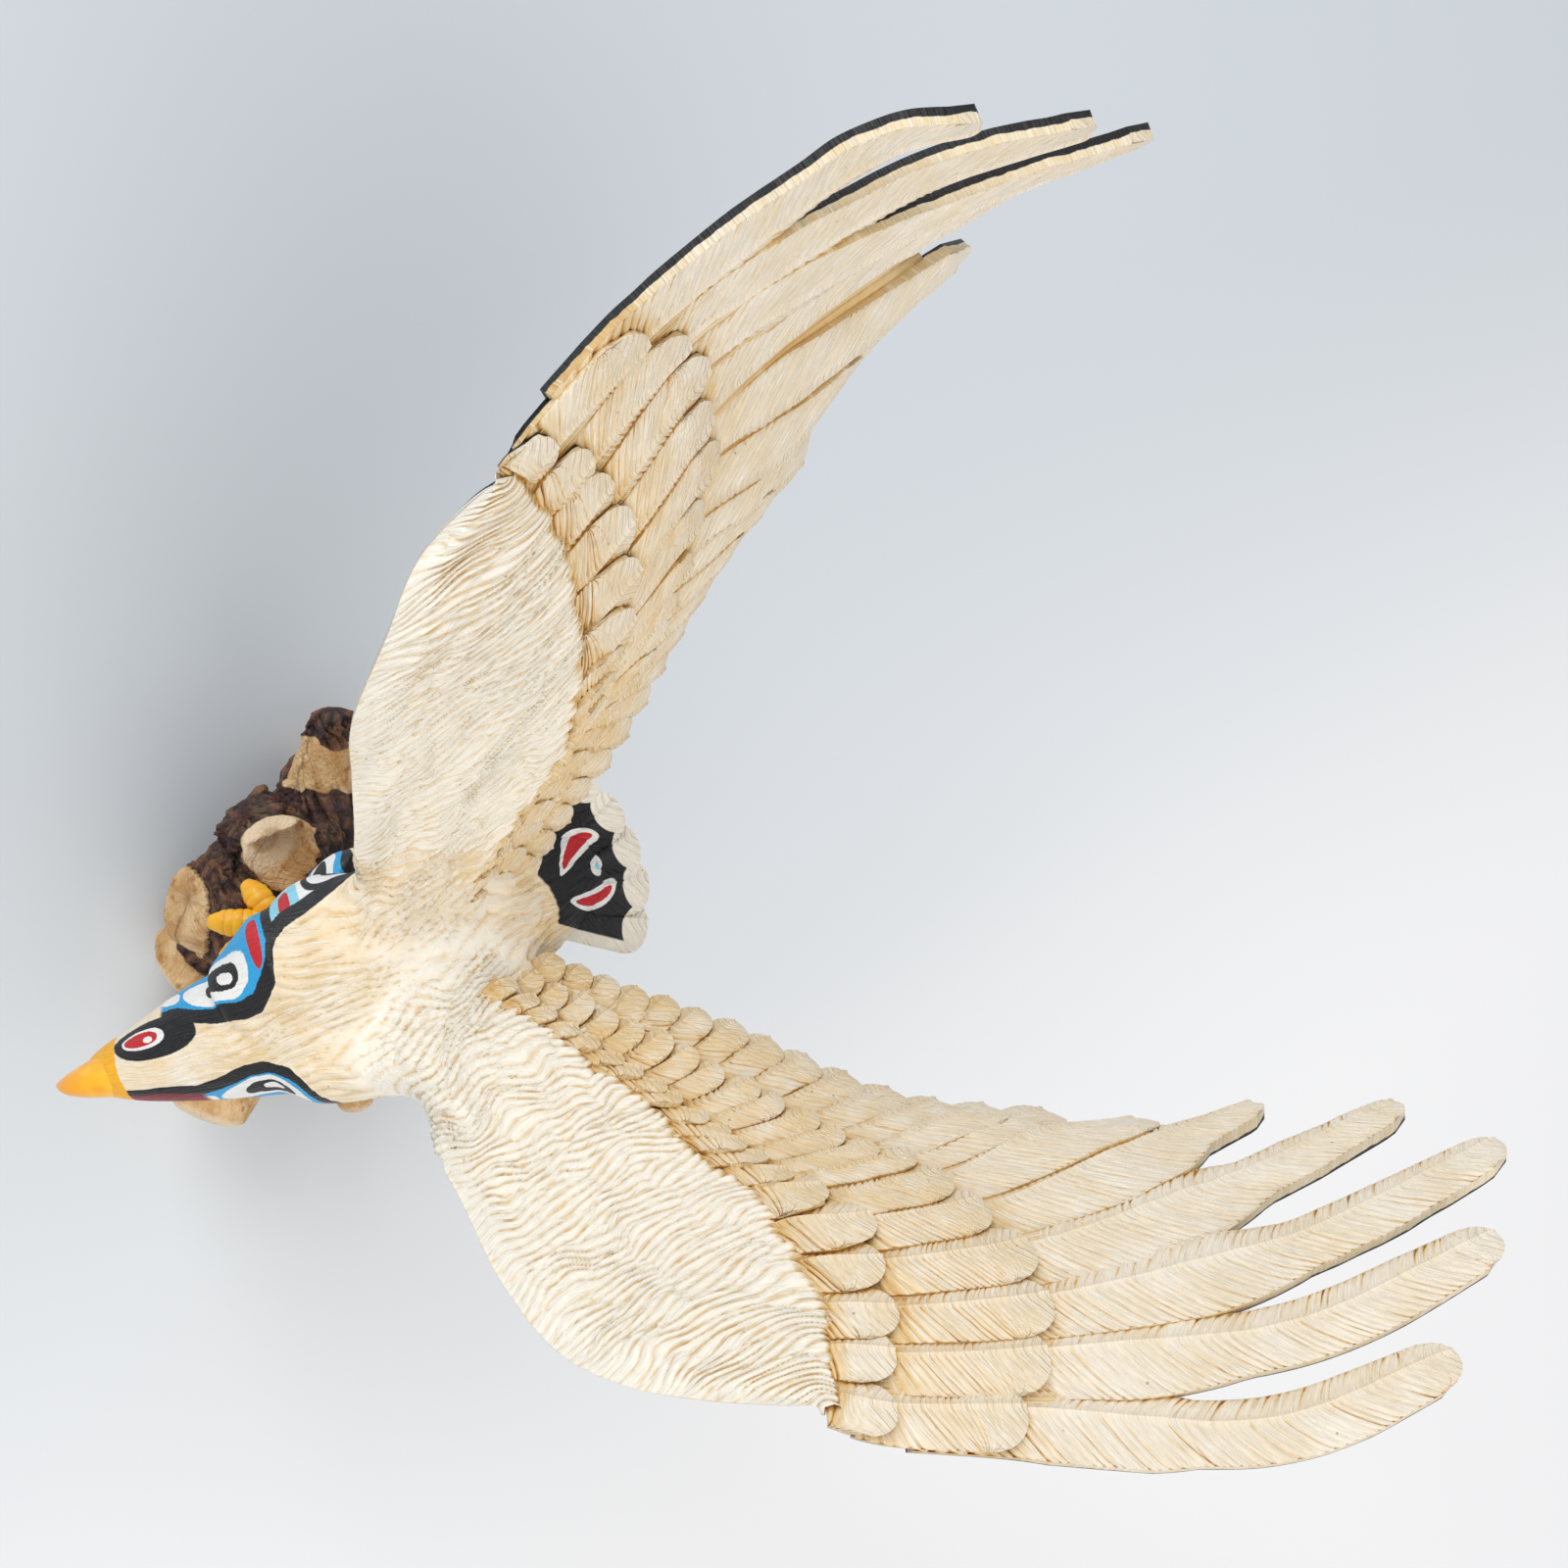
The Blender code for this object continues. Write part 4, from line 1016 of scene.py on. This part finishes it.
def wood_branch(branch, start, end, thick, thin):
    """One branch with ridged bark, smooth where it is bare, and a rounded end."""
    start, length, _, side, up = branch_frame(start, end)
    seed = branch * 1.7 + 0.4
    angles = np.linspace(0, 2 * pi, BRANCH_SIDES, endpoint=False)
    loops = []
    for t in np.concatenate([np.linspace(0, 0.9, 28, endpoint=False), np.linspace(0.9, 1, 8)]):
        left = (1 - t) * length
        rough = 1 - 0.75 * float(bare_part(branch, np.array(left)))
        ridge = (np.sin(angles * 4 + seed) + 0.8 * np.sin(angles * 7 + seed * 2.3 + t * 3)) * WOOD_RIDGE
        lump = grain(np.cos(angles) * 1.3 + seed, np.sin(angles) * 1.3, t * 3.0) * WOOD_LUMP * 0.6
        rounded = 1.5 * (1 - np.sqrt(1 - np.clip(1 - left / 1.5, 0, 1) ** 2))
        r = thick + (thin - thick) * t + (ridge + lump) * rough - rounded
        loops.append(oval(start + (np.array(end) - start) * t, side, up, r, r, BRANCH_SIDES))
    return tube(loops)


def nearest_branch(points):
    """For each point: its branch, the lengths along and around it and left to its end, and the distance
    from its middle."""
    best = np.full(len(points), 1e9)
    found = (0, 0, 0, 0, 0)
    for i, (start, end, thick, thin) in enumerate(BRANCHES):
        start, length, direction, side, up = branch_frame(start, end)
        run = (points - start) @ direction
        away = points - start - np.outer(np.clip(run, 0, length), direction)
        radial = points - start - np.outer(run, direction)
        radius = thick + (thin - thick) * np.clip(run / length, 0, 1)
        gap = np.linalg.norm(away, axis=1) - radius
        closer = gap < best
        best = np.where(closer, gap, best)
        values = (i, run + 30 * i, np.arctan2(radial @ up, radial @ side) * radius, length - run,
                  np.linalg.norm(radial, axis=1))
        found = [np.where(closer, new, old) for new, old in zip(values, found)]
    return found


def driftwood(name):
    """Gnarled wood with bark, cracks and bare cut stubs."""
    pieces = [ball(*WOOD_CORE)]
    for i, (start, end, thick, thin) in enumerate(BRANCHES):
        pieces.append(wood_branch(i, start, end, thick, thin))
    made = fused(name, pieces, WOOD_FINE_VOXEL, 3)
    points, normals = read_points(made.data)
    branch, along, around, left, off = nearest_branch(points)
    bark, place = strands(along, around, 2.6, 2.6, 90)
    pits, knobs = grain(*(points / 1.1).T, 91), grain(*(points / 3.2).T, 93)
    bare = np.zeros(len(points))
    waver = 1.2 * grain(around / 2.5, along / 4.0, seed=92)
    for i in range(len(BRANCHES)):
        bare = np.where(branch == i, bare_part(i, left, waver), bare)
    on_end = (1 - step_up(left, 0.2, 1.2)) * (branch != 0)
    relief = (bark - 0.8) * (1.5 - 1.2 * bare) + (0.30 * pits + 0.55 * knobs) * (1 - 0.85 * bare)
    relief = relief * (1 - 0.6 * on_end) + 0.7 * on_end * np.clip(1 - (off / 5.5) ** 2, 0, 1)
    points = points + normals * relief[:, None]
    top = FOOT_PLANE - SEAT_GAP
    for side in (-1, 1):
        seat = (np.abs(points[:, 0] - side * 6.0) < 10.0) & (np.abs(points[:, 1] + 5.0) < 12.0)
        points[:, 2] = np.where(seat, np.minimum(points[:, 2], top), points[:, 2])
    write_points(made.data, points)
    # The values below include painted shade in the grooves of the bark.
    put_values(made.data, {"bare": bare, "off": off, "end": on_end, "flow": along, "side": place,
                           "painted_shade": np.clip((0.75 - bark) / 0.75, 0, 1)})
    cut_below(made)
    return made


def cut_below(made):
    """Cut an object flat at the ground and close it."""
    work = bmesh.new()
    work.from_mesh(made.data)
    bmesh.ops.bisect_plane(work, geom=work.verts[:] + work.edges[:] + work.faces[:], dist=1e-6,
                           plane_co=(0, 0, 0), plane_no=(0, 0, 1), clear_inner=True)
    rim = [edge for edge in work.edges if edge.is_boundary]
    bmesh.ops.triangle_fill(work, edges=rim, use_beauty=True, use_dissolve=False)
    bmesh.ops.recalc_face_normals(work, faces=work.faces)
    work.to_mesh(made.data)
    work.free()


class Value:
    """Output of a node. Sums, products and powers of such values are further nodes."""

    def __init__(self, shader, socket):
        self.shader, self.socket = shader, socket

    def __add__(self, other):
        return self.shader.math("ADD", self, other)

    def __sub__(self, other):
        return self.shader.math("SUBTRACT", self, other)

    def __rsub__(self, other):
        return self.shader.math("SUBTRACT", other, self)

    def __mul__(self, other):
        return self.shader.math("MULTIPLY", self, other)

    def __truediv__(self, other):
        return self.shader.math("DIVIDE", self, other)

    def __pow__(self, other):
        return self.shader.math("POWER", self, other)

    def __abs__(self):
        return self.shader.math("ABSOLUTE", self)


class Shader:
    """Short calls that add nodes to one material. Sizes are millimetres."""

    def __init__(self, name, roughness, coat=0.0):
        self.material = bpy.data.materials.new(name)
        self.material.use_nodes = True
        self.nodes = self.material.node_tree.nodes
        self.links = self.material.node_tree.links
        self.surface = self.nodes["Principled BSDF"]
        self.fill(self.surface, {"Roughness": roughness, "Coat Weight": coat})

    def fill(self, node, inputs):
        """Link or set inputs of a node."""
        for label, value in inputs.items():
            socket = node.inputs[label]
            if isinstance(value, Value):
                self.links.new(value.socket, socket)
            elif isinstance(value, tuple) and socket.type == "RGBA":
                socket.default_value = (*value, 1.0)
            else:
                socket.default_value = value

    def add(self, kind, output, inputs):
        """New node with those inputs, and one of its outputs."""
        node = self.nodes.new("ShaderNode" + kind)
        self.fill(node, inputs)
        return node, Value(self, node.outputs[output])

    def math(self, operation, *values):
        node, result = self.add("Math", 0, dict(enumerate(values)))
        node.operation = operation
        return result

    def value(self, name):
        node, result = self.add("Attribute", "Fac", {})
        node.attribute_name = name
        return result

    def place(self):
        return self.add("TexCoord", "Object", {})[1]

    def axes(self):
        node, _ = self.add("SeparateXYZ", 0, {0: self.place()})
        return [Value(self, socket) / MM for socket in node.outputs]

    def noise(self, size, detail=3.0):
        """Noise from 0 to 1 with bumps of about that size."""
        inputs = {"Vector": self.place(), "Scale": 1.0 / (size * MM), "Detail": detail}
        return self.add("TexNoise", "Fac", inputs)[1]

    def cells(self, size):
        """Distance to the nearest of scattered points."""
        return self.add("TexVoronoi", "Distance", {"Vector": self.place(), "Scale": 1.0 / (size * MM)})[1]

    def hair(self, length, width):
        """Noise from 0 to 1, drawn out along the strands or barbs of the surface."""
        lengths = {0: self.value("flow") / length, 1: self.value("side") / width}
        where = self.add("CombineXYZ", 0, lengths)[1]
        fine = self.add("TexNoise", "Fac", {"Vector": where, "Scale": 1.0, "Detail": 2.0})[1]
        return self.add("Mix", 0, {"Factor": self.value("smooth"), 2: fine, 3: 0.5})[1]

    def barb_valleys(self):
        """1 in the cuts between the barbs at a feather's end, 0 on the barbs."""
        phase = self.value("side") * (1 / END_BARB_PITCH) + self.noise(4.0) * 0.3
        wave = abs(self.math("SINE", phase * pi))
        return self.rise(wave, 0.60, 0.0) * self.value("barbs")

    def rise(self, value, low, high):
        """Smooth step from 0 at low to 1 at high, or down where low is the larger."""
        ends = (low, high, 0.0, 1.0) if low <= high else (high, low, 1.0, 0.0)
        inputs = dict(zip(("Value", "From Min", "From Max", "To Min", "To Max"), (value, *ends)))
        node, result = self.add("MapRange", 0, inputs)
        node.interpolation_type = "SMOOTHSTEP"
        return result

    # Used for painted shade: colours are darkened where this is high.
    def crevices(self, distance, low, high):
        """1 where the surface is closed in by others within that distance, 0 where it is open."""
        node, openness = self.add("AmbientOcclusion", "AO", {"Distance": distance * MM})
        node.samples = 8
        return self.rise(openness, low, high)

    def mix(self, factor, low, high):
        node, colour = self.add("Mix", 2, {})
        node.data_type = "RGBA"
        self.fill(node, {"Factor": factor, 6: low, 7: high})
        return colour

    def form(self, u, v, centre, half, power=2.6):
        """1 inside a rounded form, 0 outside it."""
        shape = abs((u - centre[0]) / half[0]) ** power + abs((v - centre[1]) / half[1]) ** power
        return self.rise(shape, 1.05, 0.95)

    def forms(self, colour, u, v, shapes, power=2.6):
        """Colour with rounded forms painted on it, each given by its centre, half size and tint."""
        for centre, half, tint in shapes:
            colour = self.mix(self.form(u, v, centre, half, power), colour, tint)
        return colour

    def finished(self, colour, height, strength, distance):
        """The material, with that colour and bumps of that height."""
        inputs = {"Height": height, "Strength": strength, "Distance": distance * MM}
        normal = self.add("Bump", 0, inputs)[1]
        self.fill(self.surface, {"Base Color": colour, "Normal": normal})
        return self.material


# Colours, linear
CREAM = (0.88, 0.785, 0.62)
WHITE_CREAM = (0.93, 0.87, 0.76)
FUR_WHITE = (0.93, 0.89, 0.79)
# Painted highlight on the crests of fur strands and barbs
PAINTED_HIGHLIGHT = (0.96, 0.93, 0.86)
PEACH = (0.81, 0.60, 0.31)
STRAW = (0.75, 0.52, 0.20)
YELLOW = (0.80, 0.66, 0.36)
AMBER = (0.55, 0.26, 0.035)
BROWN = (0.30, 0.12, 0.01)
BEAK_YELLOW = (0.94, 0.46, 0.015)
# Painted shade in crevices, grooves and under overlapping feathers: the amount at which each tint starts, the
# one at which it is full, and its share
SHADE_TINTS = ((0.06, 0.55, 0.75, STRAW), (0.45, 1.0, 0.85, AMBER), (0.95, 1.6, 0.7, BROWN))
BEAK_COLOURS = ((0.96, 0.52, 0.02), (0.92, 0.40, 0.01))
BEAK_TIP = (0.93, 0.38, 0.01)
# Painted shade in the beak's crevices
BEAK_CREVICE_SHADE = (0.35, 0.10, 0.01)
FEET_COLOURS = ((1.0, 0.54, 0.01), (0.96, 0.42, 0.01))
# Painted shade of the feet: the first in the grooves between scales, the second in crevices
FEET_GROOVE_SHADE = (0.38, 0.09, 0.005)
FEET_CREVICE_SHADE = (0.30, 0.07, 0.005)
BLACK = (0.006, 0.006, 0.008)
RED = (0.55, 0.010, 0.018)
DARK_RED = (0.22, 0.010, 0.018)
BLUE = (0.02, 0.36, 0.72)
LIGHT_BLUE = (0.28, 0.66, 0.80)
PAINT_WHITE = (0.88, 0.88, 0.86)
BARK_COLOURS = ((0.040, 0.016, 0.012), (0.230, 0.105, 0.050))
BARK_GREEN = (0.080, 0.075, 0.030)
BARK_PURPLE = (0.060, 0.018, 0.022)
# Painted shade in the grooves of the bark
BARK_GROOVE_SHADE = (0.010, 0.006, 0.006)
TAN_COLOURS = ((0.56, 0.31, 0.11), (0.80, 0.56, 0.30))
TAN_STREAK = (0.46, 0.22, 0.06)
TAN_SPOT = (0.36, 0.14, 0.03)
CUT_WOOD = (0.90, 0.72, 0.50)
PITH_RING = (0.56, 0.28, 0.08)
# Floor colours towards -X and +X: painted shade, darker and bluer towards -X, as the light falls off
FLOOR_SHADE_COLOURS = ((0.625, 0.675, 0.72), (0.90, 0.91, 0.93))

# Painted forms: centre, half size and tint
FEATHER_FORMS = (((10.0, 0.0), (6.4, 2.5), PAINT_WHITE), ((10.2, 0.0), (5.4, 1.9), RED),
                 ((12.6, 0.0), (2.6, 1.0), BLACK))
HEAD_FORMS = (((22.2, 5.0), (5.6, 2.5), PAINT_WHITE), ((23.2, 5.0), (3.0, 1.5), BLACK),
              ((24.0, 4.8), (1.2, 0.65), PAINT_WHITE), ((14.5, 4.6), (1.6, 1.6), PAINT_WHITE),
              ((29.6, 5.0), (0.9, 2.6), RED), ((34.4, 3.4), (0.8, 2.4), RED),
              ((34.4, 7.6), (1.3, 1.2), PAINT_WHITE),
              ((41.6, 5.2), (4.4, 3.6), BLACK), ((41.6, 5.4), (3.5, 2.7), PAINT_WHITE),
              ((42.2, 5.6), (2.2, 1.4), BLACK), ((42.8, 5.4), (0.9, 0.5), BLUE))
BREAST_FORMS = (((19.0, 14.0), (7.5, 3.0), PAINT_WHITE), ((19.0, 14.2), (6.4, 2.2), RED),
                ((20.0, 14.2), (2.8, 1.2), BLACK), ((37.0, 15.0), (7.5, 3.6), BLUE),
                ((37.0, 15.2), (6.2, 2.6), PAINT_WHITE), ((38.0, 15.4), (3.2, 1.5), BLACK))
BROW_FORMS = (((9.9, -5.5), (3.4, 1.6), PAINT_WHITE), ((9.6, -5.5), (2.7, 1.15), RED),
              ((10.8, -5.2), (0.7, 0.5), PAINT_WHITE))
TAIL_BOWS = (((13.4, 0.0), (4.9, 0.125), PAINT_WHITE), ((13.5, 0.0), (4.0, 0.065), RED))
TAIL_DOTS = (((0.0, TAIL_ROOT[1] + 15.4), (1.5, 1.5), PAINT_WHITE),
             ((0.0, TAIL_ROOT[1] + 15.4), (0.6, 0.6), LIGHT_BLUE))


def cream(shader):
    """Colour of the bare cast: cream, warmer by tone, with painted shade from straw to brown in its crevices,
    grooves and hollows, and painted highlights on the crests of strands and barbs.
    """
    mix, rise, noise, tone = shader.mix, shader.rise, shader.noise, shader.value("tone")
    base = mix(rise(noise(8.0), 0.35, 0.70), WHITE_CREAM, CREAM)
    base = mix(rise(tone, 0.20, 0.08), base, FUR_WHITE)
    # Peach by tone, and painted shade where the surface is sheltered within 12 mm, such as the valley between
    # the wings.
    warmth_and_hollow_shade = tone * rise(noise(5.0), 0.10, 0.75) + shader.crevices(12.0, 0.80, 0.25) * 0.5
    base = mix(shader.math("MINIMUM", warmth_and_hollow_shade, 0.9), base, PEACH)
    base = mix(shader.value("rim") * 0.3, base, YELLOW)
    # Painted shade: the amount grows where the surface is closed in within 1.6 mm, with the stored shade
    # values and in strand and barb valleys, plus random variation; it tints straw, amber and brown.
    closed = shader.crevices(1.6, 0.72, 0.12)
    amount = closed * (tone * 0.55 + 0.45) + shader.value("painted_shade") + (noise(1.6) - 0.5) * 0.50
    amount = amount + (0.5 - shader.hair(5.0, 0.40)) * 0.42 + shader.barb_valleys() * 0.12
    for low, high, share, tint in SHADE_TINTS:
        base = mix(rise(amount, low, high) * share, base, tint)
    # Painted highlight: near white on the crests of the strands and barbs, outside the crevices.
    painted_highlights = rise(shader.hair(4.0, 0.34), 0.54, 0.70)
    base = mix(painted_highlights * 0.65 * (1.0 - closed), base, PAINTED_HIGHLIGHT)
    pores = rise(shader.cells(2.8), 0.08, 0.055) * rise(noise(7.0), 0.52, 0.62)
    return mix(pores * 0.6, base, BROWN)


def finish_cream(shader, colour):
    fine = shader.noise(0.35, 2.0) * 0.6 + shader.noise(1.2) * 0.6
    fine = fine + shader.hair(4.0, 0.34) * 4.2 - shader.barb_valleys() * 1.7
    return shader.finished(colour, fine, 0.7, 0.16)


def wing_material(name):
    """Cream back, and an underside painted black with U-forms on the feathers."""
    shader = Shader(name, 0.46)
    paint = shader.forms(BLACK, shader.value("tip"), shader.value("across"), FEATHER_FORMS)
    edge = shader.value("under") + (shader.noise(2.0) - 0.5) * 0.25
    return finish_cream(shader, shader.mix(shader.rise(edge, 0.52, 0.58), cream(shader), paint))


def trunk_material(name):
    """Cream stripe over the head and back; painted sides with ovoids, U-forms and crescents."""
    shader = Shader(name, 0.42)
    mix, rise = shader.mix, shader.rise
    along, around = shader.value("tip"), shader.value("around")
    below = shader.value("across") + (shader.noise(3.0) - 0.5) * 0.5
    paint = mix(rise(along, 31.8, 32.0), BLUE, PAINT_WHITE)
    paint = mix(rise(along, 31.8, 32.0) * rise(along, 36.6, 36.4), paint, LIGHT_BLUE)
    paint = shader.forms(paint, along, below, HEAD_FORMS)
    paint = mix(rise(along, 31.0, 31.2) * rise(along, 32.5, 32.3), paint, BLACK)
    paint = mix(rise(below, 9.6, 9.8), paint, BLACK)
    paint = shader.forms(paint, along, below, BREAST_FORMS)
    paint = mix(rise(around, -0.2, 0.2) * rise(along, 15.5, 14.5), paint, DARK_RED)
    paint = mix(rise(below - rise(along, 8.0, 16.0), 1.25, 1.10), paint, BLACK)
    area = rise(below, -0.06, 0.06) * rise(along, PAINT_END, PAINT_END - 0.3)
    front = rise(around, 0.0, -0.1) * rise(along, 13.4, 12.8)
    colour = mix(area * (1.0 - front), cream(shader), paint)
    colour = mix(shader.form(along, around, (11.4, -5.4), (6.4, 3.1), 2.3), colour, BLACK)
    colour = shader.forms(colour, along, around, BROW_FORMS, 2.2)
    horn = shader.noise(2.0) * 0.8 + along
    colour = mix(rise(horn, 5.6, 5.4), colour, BEAK_YELLOW)
    return finish_cream(shader, tail_paint(shader, colour))


def tail_paint(shader, colour):
    """The black field over rump and tail, scalloped along the feather tips, with its crescents and dots."""
    rise = shader.rise
    x, y, _ = shader.axes()
    root = y - TAIL_ROOT[1]
    out = shader.math("SQRT", x ** 2.0 + root ** 2.0)
    sideways = abs(shader.math("ARCTAN2", x, root))
    field = rise(out, TAIL_FIELD_END, TAIL_FIELD_END - 0.2) * rise(y, 16.0, 16.2)
    field = field * rise(sideways, TAIL_FIELD_HALF, TAIL_FIELD_HALF - 0.02)
    scallop, radius = TAIL_SCALLOP
    for angle in TAIL_ANGLES:
        centre = (scallop * sin(angle), TAIL_ROOT[1] + scallop * cos(angle))
        field = field * (1.0 - shader.form(x, y, centre, (radius, radius), 2.0))
    field = field * (1.0 - shader.form(x, y, (0.5, 11.0), (9.5, 9.8), 2.0))
    colour = shader.mix(field, colour, BLACK)
    bow = (out - 13.0) ** 2.0 * 0.004 + (sideways - 0.33)
    for u, v, shapes in ((out, bow, TAIL_BOWS), (x, y, TAIL_DOTS)):
        for centre, half, tint in shapes:
            colour = shader.mix(shader.form(u, v, centre, half, 2.0) * field, colour, tint)
    return colour


def tail_material(name):
    """Cream tips around the painted field."""
    shader = Shader(name, 0.42)
    return finish_cream(shader, tail_paint(shader, cream(shader)))


def beak_material(name):
    shader = Shader(name, 0.35, 0.3)
    mix, rise, noise = shader.mix, shader.rise, shader.noise
    colour = mix(rise(noise(2.2), 0.3, 0.7), *BEAK_COLOURS)
    colour = mix(rise(shader.axes()[1], -43.0, -46.0), colour, BEAK_TIP)
    # Painted shade in the mouth line and the other crevices.
    colour = mix(shader.crevices(1.2, 0.7, 0.2) * 0.7, colour, BEAK_CREVICE_SHADE)
    return shader.finished(colour, noise(0.5), 0.3, 0.08)


def feet_material(name):
    shader = Shader(name, 0.42, 0.15)
    mix, rise, noise = shader.mix, shader.rise, shader.noise
    colour = mix(rise(noise(2.5), 0.3, 0.7), *FEET_COLOURS)
    # Painted shade in the grooves between the rings of scales, then in the crevices.
    colour = mix(rise(shader.value("painted_shade"), 0.3, 1.0) * 0.75, colour, FEET_GROOVE_SHADE)
    colour = mix(shader.crevices(1.5, 0.7, 0.2) * 0.6, colour, FEET_CREVICE_SHADE)
    return shader.finished(colour, noise(0.4), 0.4, 0.08)


def wood_material(name):
    """Dark bark with green and purple hints; tan bare wood with darker streaks and a pith."""
    shader = Shader(name, 0.55)
    mix, rise, noise = shader.mix, shader.rise, shader.noise
    off, end = shader.value("off"), shader.value("end")
    bark = mix(rise(noise(2.4), 0.38, 0.66), *BARK_COLOURS)
    bark = mix(rise(noise(6.0), 0.58, 0.70) * 0.6, bark, BARK_GREEN)
    bark = mix(rise(noise(5.0), 0.55, 0.40) * 0.5, bark, BARK_PURPLE)
    # Painted shade: near black in the grooves of the bark.
    bark = mix(rise(shader.value("painted_shade"), 0.35, 0.9), bark, BARK_GROOVE_SHADE)
    tan = mix(rise(noise(3.5), 0.3, 0.7), *TAN_COLOURS)
    tan = mix(rise(shader.hair(6.0, 0.8), 0.52, 0.70) * 0.6, tan, TAN_STREAK)
    tan = mix(rise(noise(2.6), 0.58, 0.70) * 0.7, tan, TAN_SPOT)
    tan = mix(end * 0.8, tan, CUT_WOOD)
    tan = mix(end * rise(off, 1.0, 1.5) * rise(off, 2.7, 2.1) * 0.45, tan, PITH_RING)
    worn = (noise(1.5) - 0.5) * 0.5 + shader.value("bare")
    fine = shader.hair(4.0, 0.5) * 0.8 + noise(0.6) + noise(1.5)
    return shader.finished(mix(rise(worn, 0.40, 0.62), bark, tan), fine, 0.8, 0.55)


def dress(piece, material, node, crisp=None):
    """Give a piece its material, its body, the node it stands for and its finish."""
    piece.data.materials.clear()
    piece.data.materials.append(material)
    piece.data.shade_smooth()
    if crisp is not None:
        piece.data.set_sharp_from_angle(angle=radians(crisp))
    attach(piece, "root")
    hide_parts(node)


def stand(made, right, up, back, place):
    """Turn an object's axes to those directions and put it at a place in millimetres."""
    columns = (right, up, back, np.array(place) * MM)
    rows = [[float(column[i]) for column in columns] for i in range(3)]
    made.matrix_world = Matrix(rows + [(0, 0, 0, 1)])


def camera():
    data = bpy.data.cameras.new("camera")
    data.lens = CAMERA_LENS
    data.sensor_width = CAMERA_SENSOR
    data.clip_start = 0.01
    made = linked("camera", data)
    stand(made, CAMERA_RIGHT, CAMERA_UP, CAMERA_BACK, CAMERA_PLACE)
    bpy.context.scene.camera = made


def area_light(name, towards, distance, size, power, colour):
    """Soft square light, aimed at the bird."""
    direction = unit(np.array(towards) @ np.array((CAMERA_RIGHT, CAMERA_UP, CAMERA_BACK)))
    data = bpy.data.lights.new(name, "AREA")
    data.size, data.energy, data.color = size, power, colour
    side = unit(np.cross((0.3, 0.2, 0.93), direction))
    stand(linked(name, data), side, np.cross(direction, side), direction,
          np.array(MIDDLE_OF_BIRD) + direction * distance)


def stage():
    """Pale floor, painted darker and bluer towards -X as painted shade, soft lights and a pale surround."""
    mesh = bpy.data.meshes.new("floor")
    corners = [(x * FLOOR_HALF, y * FLOOR_HALF, FLOOR_LEVEL) for x, y in ((-1, -1), (1, -1), (1, 1), (-1, 1))]
    mesh.from_pydata(corners, [], [(0, 1, 2, 3)])
    floor = placed("floor", mesh)
    shader = Shader("pale_floor", 0.6)
    # Painted shade: the floor darker and bluer towards -X, lighter towards +X.
    tint = shader.mix(shader.rise(shader.axes()[0], -45.0, 185.0), *FLOOR_SHADE_COLOURS)
    mesh.materials.append(shader.finished(tint, shader.noise(2.0), 0.05, 0.05))
    for name, values in LIGHTS.items():
        area_light(name, *values)
    world = bpy.data.worlds.new("studio")
    bpy.context.scene.world = world
    world.use_nodes = True
    surround = world.node_tree.nodes["Background"]
    surround.inputs["Color"].default_value = WORLD_COLOUR
    surround.inputs["Strength"].default_value = WORLD_STRENGTH
    bpy.context.scene.view_settings.view_transform = "Standard"


def main():
    camera()
    stage()
    right = right_rows()
    for side, rows in (("left", ROWS), ("right", right)):
        seed = FUR_SEEDS[side]
        resin = wing_material(side + "_wing_resin")
        dress(flight(side + "_wing_flight_feathers", rows, seed + 1), resin, "eagle", 50)
        dress(coverts(side + "_wing_coverts", rows, seed + 2), resin, "eagle", 50)
        dress(fur(side + "_wing_fur", rows, seed), resin, "eagle")
    dress(trunk("head_and_body", right), trunk_material("painted_body"), "eagle")
    dress(beak("beak"), beak_material("beak_paint"), "eagle", 60)
    dress(tail("tail_fan"), tail_material("painted_tail"), "eagle", 50)
    dress(feet("feet"), feet_material("feet_paint"), "eagle")
    dress(driftwood("driftwood"), wood_material("driftwood_paint"), "driftwood_base")


main()
